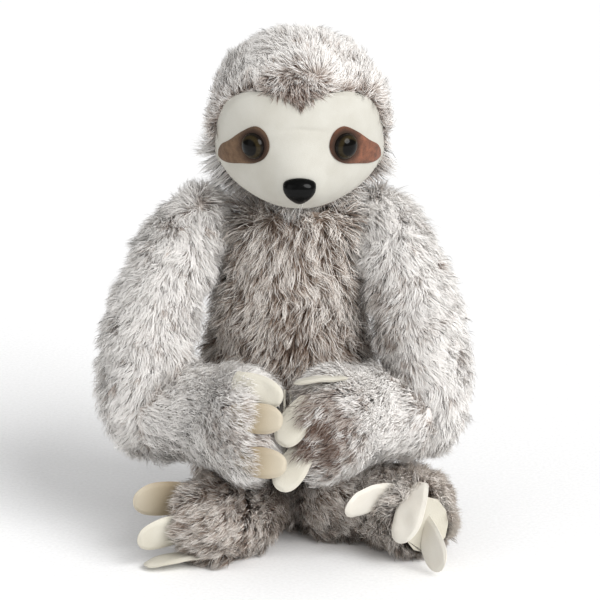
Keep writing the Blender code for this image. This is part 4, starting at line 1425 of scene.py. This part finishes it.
    def tones(self, roots: Array, lock: Array, locks: int, face: Face, rng: np.random.Generator) -> Array:
        """Tone of each strand: 0 is dark almost to its tip, 1 is frosted almost from its root.

        Args:
            roots: Where the strands start.
            lock: Which lock each belongs to.
            locks: How many locks there are.
            face: The face, round which the roots show.
            rng: Source of the random draws.

        Returns:
            One tone per strand.
        """
        tone = self.tone + sum(self.PLACE_TONE * Ripple(rng, length).at(roots) for length in (40 * MM, 14 * MM))
        speck = self.speck * (rng.random(locks) < self.SPECKED_SHARE)
        tone = tone + (rng.normal(scale=self.LOCK_TONE * self.mottle, size=locks) - speck)[lock]
        tone = tone + rng.normal(scale=self.STRAND_TONE * self.mottle, size=len(roots))
        for shade in self.shades:
            tone = tone - shade.at(roots) * (1.0 + self.SHADE_TONE * rng.normal(size=locks))[lock]
        if self.node == "head":
            close = np.exp(-(face.edge_distance(roots) / self.FACE_EDGE_REACH) ** 2)
            tone = tone - self.FACE_EDGE_TONE * close
        return self.packed(tone)

    def packed(self, tone: Array | float) -> Array:
        """Squeeze tones so that both ends of the scale stay within the UV map.

        Args:
            tone: Tones, which may run below 0 or above 1.

        Returns:
            Tones from 0 to 1.
        """
        return np.clip(0.5 + 0.9 / TONE_SPREAD * (tone - 0.5), 0.01, 0.99)

    def strand_mesh(
        self, spine: Array, normals: Array, tone: Array, finish: bpy.types.Material, rng: np.random.Generator
    ) -> None:
        """Make the strands as narrow ribbons that end in a point.

        Args:
            spine: Points of each strand, from its root to its tip.
            normals: Normal of the skin under each.
            tone: Tone of each.
            finish: The fur.
            rng: Source of the random draws.
        """
        count = len(spine)
        tangent = unit(spine[:, 1:] - spine[:, :-1])
        facing = unit(normals + 0.55 * rng.normal(size=normals.shape))
        side = unit(np.cross(tangent, facing[:, None]))
        taper = np.array(self.WIDTHS)[None, :, None]
        width = self.width * rng.uniform(0.6, 1.35, size=(count, 1, 1)) * taper / 2
        left, right = spine[:, :2] - side * width, spine[:, :2] + side * width
        points = np.concatenate([np.stack([left, right], axis=2).reshape(count, 4, 3), spine[:, 2:]], axis=1)
        first = (np.arange(count) * 5)[:, None]
        body, tip = first + [0, 1, 3, 2], first + [2, 3, 4]
        along = np.repeat(np.array(self.LEVELS)[[0, 0, 1, 1, 2]][None], count, axis=0)
        uv = np.stack([np.repeat(tone[:, None], 5, axis=1), along], axis=-1)
        bend = np.cross(side, tangent)[:, [0, 0, 1, 1, 1]]
        bend = np.where((bend * normals[:, None]).sum(axis=-1, keepdims=True) < 0, -bend, bend)
        shading = unit(normals[:, None] + 0.35 * bend)
        made = mesh_object(f"{self.node}_fur", points.reshape(-1, 3), [body, tip], uv.reshape(-1, 2),
                           shading.reshape(-1, 3))
        dress(made, finish, self.slot, self.body)

    def skin(self, surface: Surface, finish: bpy.types.Material) -> None:
        """Make the cloth under the pile, inside the CAD surface by the depth of the roots.

        Args:
            surface: The CAD node's surface.
            finish: The fur, read at its roots.
        """
        depth = np.minimum(self.inset + self.SKIN_GAP, surface.depth)
        points = surface.points - surface.normals * depth[:, None]
        points[:, 2] = np.maximum(points[:, 2], FLOOR_GAP)
        uv = np.tile([[float(self.packed(self.tone)), self.SKIN_LEVEL]], (len(points), 1))
        made = mesh_object(f"{self.node}_cloth", points, [surface.triangles], uv)
        dress(made, finish, self.slot, self.body, self.node)


# Small pieces that keep their CAD form


def plain_copy(
    node: str, name: str, finish: bpy.types.Material, slot: Slot, body: str, bevel: float = 0.0
) -> bpy.types.Object:
    """Make a piece in a CAD node's own form, with its edges rounded.

    Args:
        node: The CAD node.
        name: Name of the piece.
        finish: Its material.
        slot: Its slot in the record.
        body: The body that it rides on.
        bevel: Radius of its edges.

    Returns:
        The object.
    """
    surface = Surface.of(node)
    made = mesh_object(name, surface.points, [surface.triangles])
    edit = bmesh.new()
    edit.from_mesh(made.data)
    bmesh.ops.dissolve_limit(edit, angle_limit=math.radians(3), verts=edit.verts, edges=edit.edges)
    edit.to_mesh(made.data)
    edit.free()
    made.data.shade_smooth()
    made.data.set_sharp_from_angle(angle=math.radians(35))
    if bevel:
        step = made.modifiers.new("edges", "BEVEL")
        step.width = bevel
        step.segments = 3
        step.angle_limit = math.radians(35)
    dress(made, finish, slot, body, node)
    return made


def build_trim(felt: bpy.types.Material) -> None:
    """Make palms, soles, closing tapes, washers, mouth and neck seam.

    Args:
        felt: The felt of the claws and palms.
    """
    tape = ClothFinish("tape_weave", (0.26, 0.21, 0.18), (0.20, 0.16, 0.13), 2600.0, 0.9, 0.05).build()
    thread = SmoothFinish("thread_brown", (0.20, 0.15, 0.12), 0.8, 0.0, 0.6).build()
    white = SmoothFinish("washer_white", (0.78, 0.78, 0.76), 0.45).build()
    black = SmoothFinish("stitch_black", (0.02, 0.018, 0.018), 0.7, 0.0, 0.6).build()
    for _, label in SIDES:
        for part, limb, bevel in (("palm", "forearm", 0.4 * MM), ("sole", "leg", 0.5 * MM)):
            node, name, body = (f"{word}_{label}" for word in (f"{part}_pad", f"{part}_felt", limb))
            plain_copy(node, name, felt, Slot.FELT, body, bevel)
        plain_copy(f"eye_{label}_washer", f"eye_lock_{label}", white, Slot.WASHER, "head", 0.2 * MM)
    plain_copy("hook_tape", "hook_strip", tape, Slot.TAPE, "forearm_left", 0.15 * MM)
    plain_copy("loop_tape", "loop_strip", tape, Slot.TAPE, "forearm_right", 0.15 * MM)
    plain_copy("nose_washer", "nose_lock", white, Slot.WASHER, "head", 0.2 * MM)
    plain_copy("mouth_stitch", "mouth_line", black, Slot.NOSE, "head")
    plain_copy("neck_seam", "neck_thread", thread, Slot.THREAD, "neck_seam")


# Stage


@dataclass(frozen=True)
class Stage:
    """Floor, lights, white surround and camera."""

    target: Place = (7.8 * MM, -40 * MM, 158.8 * MM)
    distance: float = 2.0
    elevation: float = math.radians(15)
    seen_width: float = 390 * MM
    sun: float = 2.7
    sun_width: float = math.radians(40)
    sun_from: Place = (0.66, -0.66, 0.66)
    fill_power: float = 2.0
    fill_size: float = 1.2
    fill_from: Place = (-1.1, -0.9, 0.8)
    ambient: float = 0.58
    mirrored: float = 0.12
    floor_half: float = 6.0

    def build(self) -> None:
        """Make the stage."""
        self.build_floor()
        self.build_lights()
        self.build_world()
        self.build_camera()

    def build_floor(self) -> None:
        """Make a wide white floor."""
        points = np.array([[-1, -1, 0], [1, -1, 0], [1, 1, 0], [-1, 1, 0]]) * self.floor_half
        floor = mesh_object("floor", points, [np.array([[0, 1, 2, 3]])])
        floor.data.materials.append(SmoothFinish("floor_white", (0.92, 0.92, 0.92), 0.95, 0.0, 0.0).build())

    def build_lights(self) -> None:
        """Make a broad sun from the front right and a weak fill from the front left."""
        key = bpy.data.lights.new("key", "SUN")
        key.energy = self.sun
        key.angle = self.sun_width
        self.hang(key, Vector(), Vector(self.sun_from))
        fill = bpy.data.lights.new("fill", "AREA")
        fill.size = self.fill_size
        fill.energy = self.fill_power
        place = Vector(self.fill_from)
        self.hang(fill, place, place - Vector(self.target))

    def hang(self, lamp: bpy.types.Light, place: Vector, back: Vector) -> None:
        """Put up a light.

        Args:
            lamp: The light.
            place: Where it hangs.
            back: The direction that its light comes from.
        """
        made = bpy.data.objects.new(lamp.name, lamp)
        made.location = place
        made.rotation_euler = (-back).to_track_quat("-Z", "Y").to_euler()
        bpy.context.scene.collection.objects.link(made)

    def build_world(self) -> None:
        """Make a soft grey surround that the camera sees as white."""
        world = bpy.data.worlds.new("surround")
        bpy.context.scene.world = world
        world.use_nodes = True
        nodes, links = world.node_tree.nodes, world.node_tree.links
        soft = nodes["Background"]
        soft.inputs["Color"].default_value = (1.0, 1.0, 1.0, 1.0)
        white = nodes.new("ShaderNodeBackground")
        white.inputs["Strength"].default_value = 1.0
        seen = nodes.new("ShaderNodeLightPath")
        dulled = nodes.new("ShaderNodeMapRange")
        dulled.inputs["To Min"].default_value = self.ambient
        dulled.inputs["To Max"].default_value = self.mirrored
        links.new(seen.outputs["Is Glossy Ray"], dulled.inputs["Value"])
        links.new(dulled.outputs["Result"], soft.inputs["Strength"])
        mixed = nodes.new("ShaderNodeMixShader")
        links.new(seen.outputs["Is Camera Ray"], mixed.inputs["Fac"])
        links.new(soft.outputs["Background"], mixed.inputs[1])
        links.new(white.outputs["Background"], mixed.inputs[2])
        links.new(mixed.outputs["Shader"], nodes["World Output"].inputs["Surface"])

    def build_camera(self) -> None:
        """Make the camera at the photograph's angle."""
        lens = bpy.data.cameras.new("camera")
        lens.sensor_width = 36.0
        lens.lens = lens.sensor_width * self.distance / self.seen_width
        camera = bpy.data.objects.new("camera", lens)
        back = Vector((0.0, -math.cos(self.elevation), math.sin(self.elevation)))
        camera.location = Vector(self.target) + back * self.distance
        camera.rotation_euler = (-back).to_track_quat("-Z", "Y").to_euler()
        bpy.context.scene.collection.objects.link(camera)
        bpy.context.scene.camera = camera
        bpy.context.scene.view_settings.view_transform = "Standard"


# The toy


def shade(x: float, y: float, z: float, radius: float, amount: float) -> Shade:
    """Make a shade from a place and a radius in millimetres."""
    return Shade((x * MM, y * MM, z * MM), radius * MM, amount)


def trunk_coats() -> list[Coat]:
    """List the fur of the torso and the head.

    Returns:
        Both coats.
    """
    limbs = tuple(f"{limb}_{label}" for limb in ("upper_arm", "leg") for _, label in SIDES)
    torso = Coat(
        "torso", "torso", Slot.BODY_FUR, DOWN,
        tone=0.69, mottle=2.3, swirl=0.7, length=16.5 * MM, inset=4 * MM, clump=4.2 * MM,
        ruff=(192 * MM, 214 * MM, 0.3), beside=("head", *limbs),
        # Painted shade: darker fur under the chin and on the belly behind the crossed arms
        shades=(shade(6, -48, 200, 20, 0.22), shade(0, -50, 110, 40, 0.18)),
    )
    head = Coat(
        "head", "head", Slot.BODY_FUR, DOWN, Pile.PALE,
        tone=0.90, mottle=0.7, speck=0.3, lean=0.16, gather=0.35, width=0.4 * MM, length=9 * MM,
        inset=3 * MM, clump=3.4 * MM, ruff=(268 * MM, 245 * MM, 0.9), beside=("torso", "face_panel"),
        shades=(shade(-4, -58, 307, 15, 0.6), shade(13, -60, 303, 14, 0.6)),
        tufts=(shade(-42, -12, 250, 22, 0.7), shade(56, -12, 250, 18, 0.2)),
        bare=(((7.5 * MM, -6 * MM, 231 * MM), 27 * MM),),
    )
    return [torso, head]


def limb_coats(side: int, label: str) -> list[Coat]:
    """List the fur of one side's limbs.

    Args:
        side: -1 for the viewer's left, 1 for the right.
        label: "left" or "right".

    Returns:
        The coats of its upper arm, forearm and leg.
    """
    left = side < 0
    upper, lower, leg = f"upper_arm_{label}", f"forearm_{label}", f"leg_{label}"
    arm_coat = Coat(
        upper, upper, Slot.ARM_FUR, (side * 0.25, -0.15, -1.0), Pile.PALE,
        tone=0.94, mottle=0.7, speck=0.6, lean=0.2, gather=0.3, swirl=0.8, lift=0.5, width=0.4 * MM,
        length=13 * MM, inset=5 * MM, clump=3.6 * MM, beside=("torso", lower),
        # Painted shade: darker fur in the gap between the upper arm and the torso, deeper on the viewer's right
        shades=(shade(side * 54, -50, 162, 20, 0.45 + 0.3 * side),
                shade(side * 58, -54, 128, 20, 0.40 + 0.3 * side)),
        tufts=(shade(side * 58, -45, 123, 20, 0.25 - 0.25 * side),),
    )
    hand_coat = Coat(
        lower, lower, Slot.ARM_FUR, (-side * 0.8, -0.55, -0.25), Pile.PALE,
        tone=0.97, mottle=0.7, speck=0.3, lean=0.12, gather=0.3, swirl=0.4, lift=0.36, width=0.42 * MM,
        length=12 * MM, inset=4.5 * MM, clump=3.6 * MM, beside=(upper,), pad=f"palm_pad_{label}",
        shades=(shade(side * 22, -132, 92, 33, 0.5 if left else 1.1),),
    )
    leg_coat = Coat(
        leg, leg, Slot.BODY_FUR, (-0.7, -0.5, -0.2) if left else (0.4, -0.85, -0.2),
        tone=0.36 if left else 0.54, mottle=2.0, lean=0.2, swirl=0.5, length=14 * MM, inset=5 * MM,
        beside=("torso",), hidden=0.4, pad=f"sole_pad_{label}", pad_clear=0.15 if left else 0.8,
        shades=() if left else (shade(94, -95, 37, 26, -0.55),),
    )
    return [arm_coat, hand_coat, leg_coat]


def build_claws(felt: bpy.types.Material, rng: np.random.Generator) -> list[ClawFrame]:
    """Make the twelve claws: painted shade, a darker and warmer felt, on those that lie in shade, and painted
    light, a paler felt, on the right foot's.

    Args:
        felt: The felt of the other claws.
        rng: Source of the random draws.

    Returns:
        Where each lies.
    """
    # Painted shade: a darker, warmer felt for the claws that lie under other claws or in the fur, darkest at
    # the root and paler towards the tip
    painted_shade_felt = ClothFinish("claw_felt_warm", (0.42, 0.34, 0.235), (0.35, 0.28, 0.18), 1400.0, 0.8, 0.1,
                       tip=(0.56, 0.50, 0.395)).build()
    # Painted light: a paler felt for the right foot's claws, which face away from the sun
    pale = ClothFinish("claw_felt_pale", (0.80, 0.77, 0.70), (0.74, 0.70, 0.62), 1400.0, 0.8, 0.1).build()
    painted_shade_claws = ("hand_claw_left_middle", "hand_claw_left_lower", "foot_claw_left_upper")
    claws = []
    for _, label in SIDES:
        for place in ("upper", "middle", "lower"):
            for kind, limb in (("hand", f"forearm_{label}"), ("foot", f"leg_{label}")):
                claws.append(ClawFrame.of(f"{kind}_claw_{label}_{place}", limb, limb))
    for claw in claws:
        chosen = pale if claw.name.startswith("foot_claw_right") else painted_shade_felt if claw.name in painted_shade_claws else felt
        ClawMaker().build(claw, chosen, rng)
    return claws


def main() -> None:
    """Build the looks."""
    logging.basicConfig(level=logging.INFO, format="%(name)s: %(message)s")
    rng = np.random.default_rng(SEED)
    felt = ClothFinish("claw_felt_nap", (0.66, 0.63, 0.545), (0.60, 0.565, 0.475), 1400.0, 0.8, 0.1).build()
    claws = build_claws(felt, rng)
    face = Face()
    face.build()
    dark = (0.105, 0.058, 0.037), (0.41, 0.315, 0.25), (0.92, 0.87, 0.815), 0.45, 0.82
    light = (0.14, 0.082, 0.058), (0.60, 0.525, 0.47), (0.95, 0.925, 0.895), 0.45, 0.8
    looks = {Pile.DARK: dark, Pile.PALE: light}
    furs = {pile: FurFinish(pile.value, *look).build() for pile, look in looks.items()}
    coats = trunk_coats()
    for side, label in SIDES:
        coats += limb_coats(side, label)
    for coat in coats:
        coat.grow(furs[coat.pile], claws, face, rng)
    build_trim(felt)
    Stage().build()


if __name__ == "__main__":
    main()
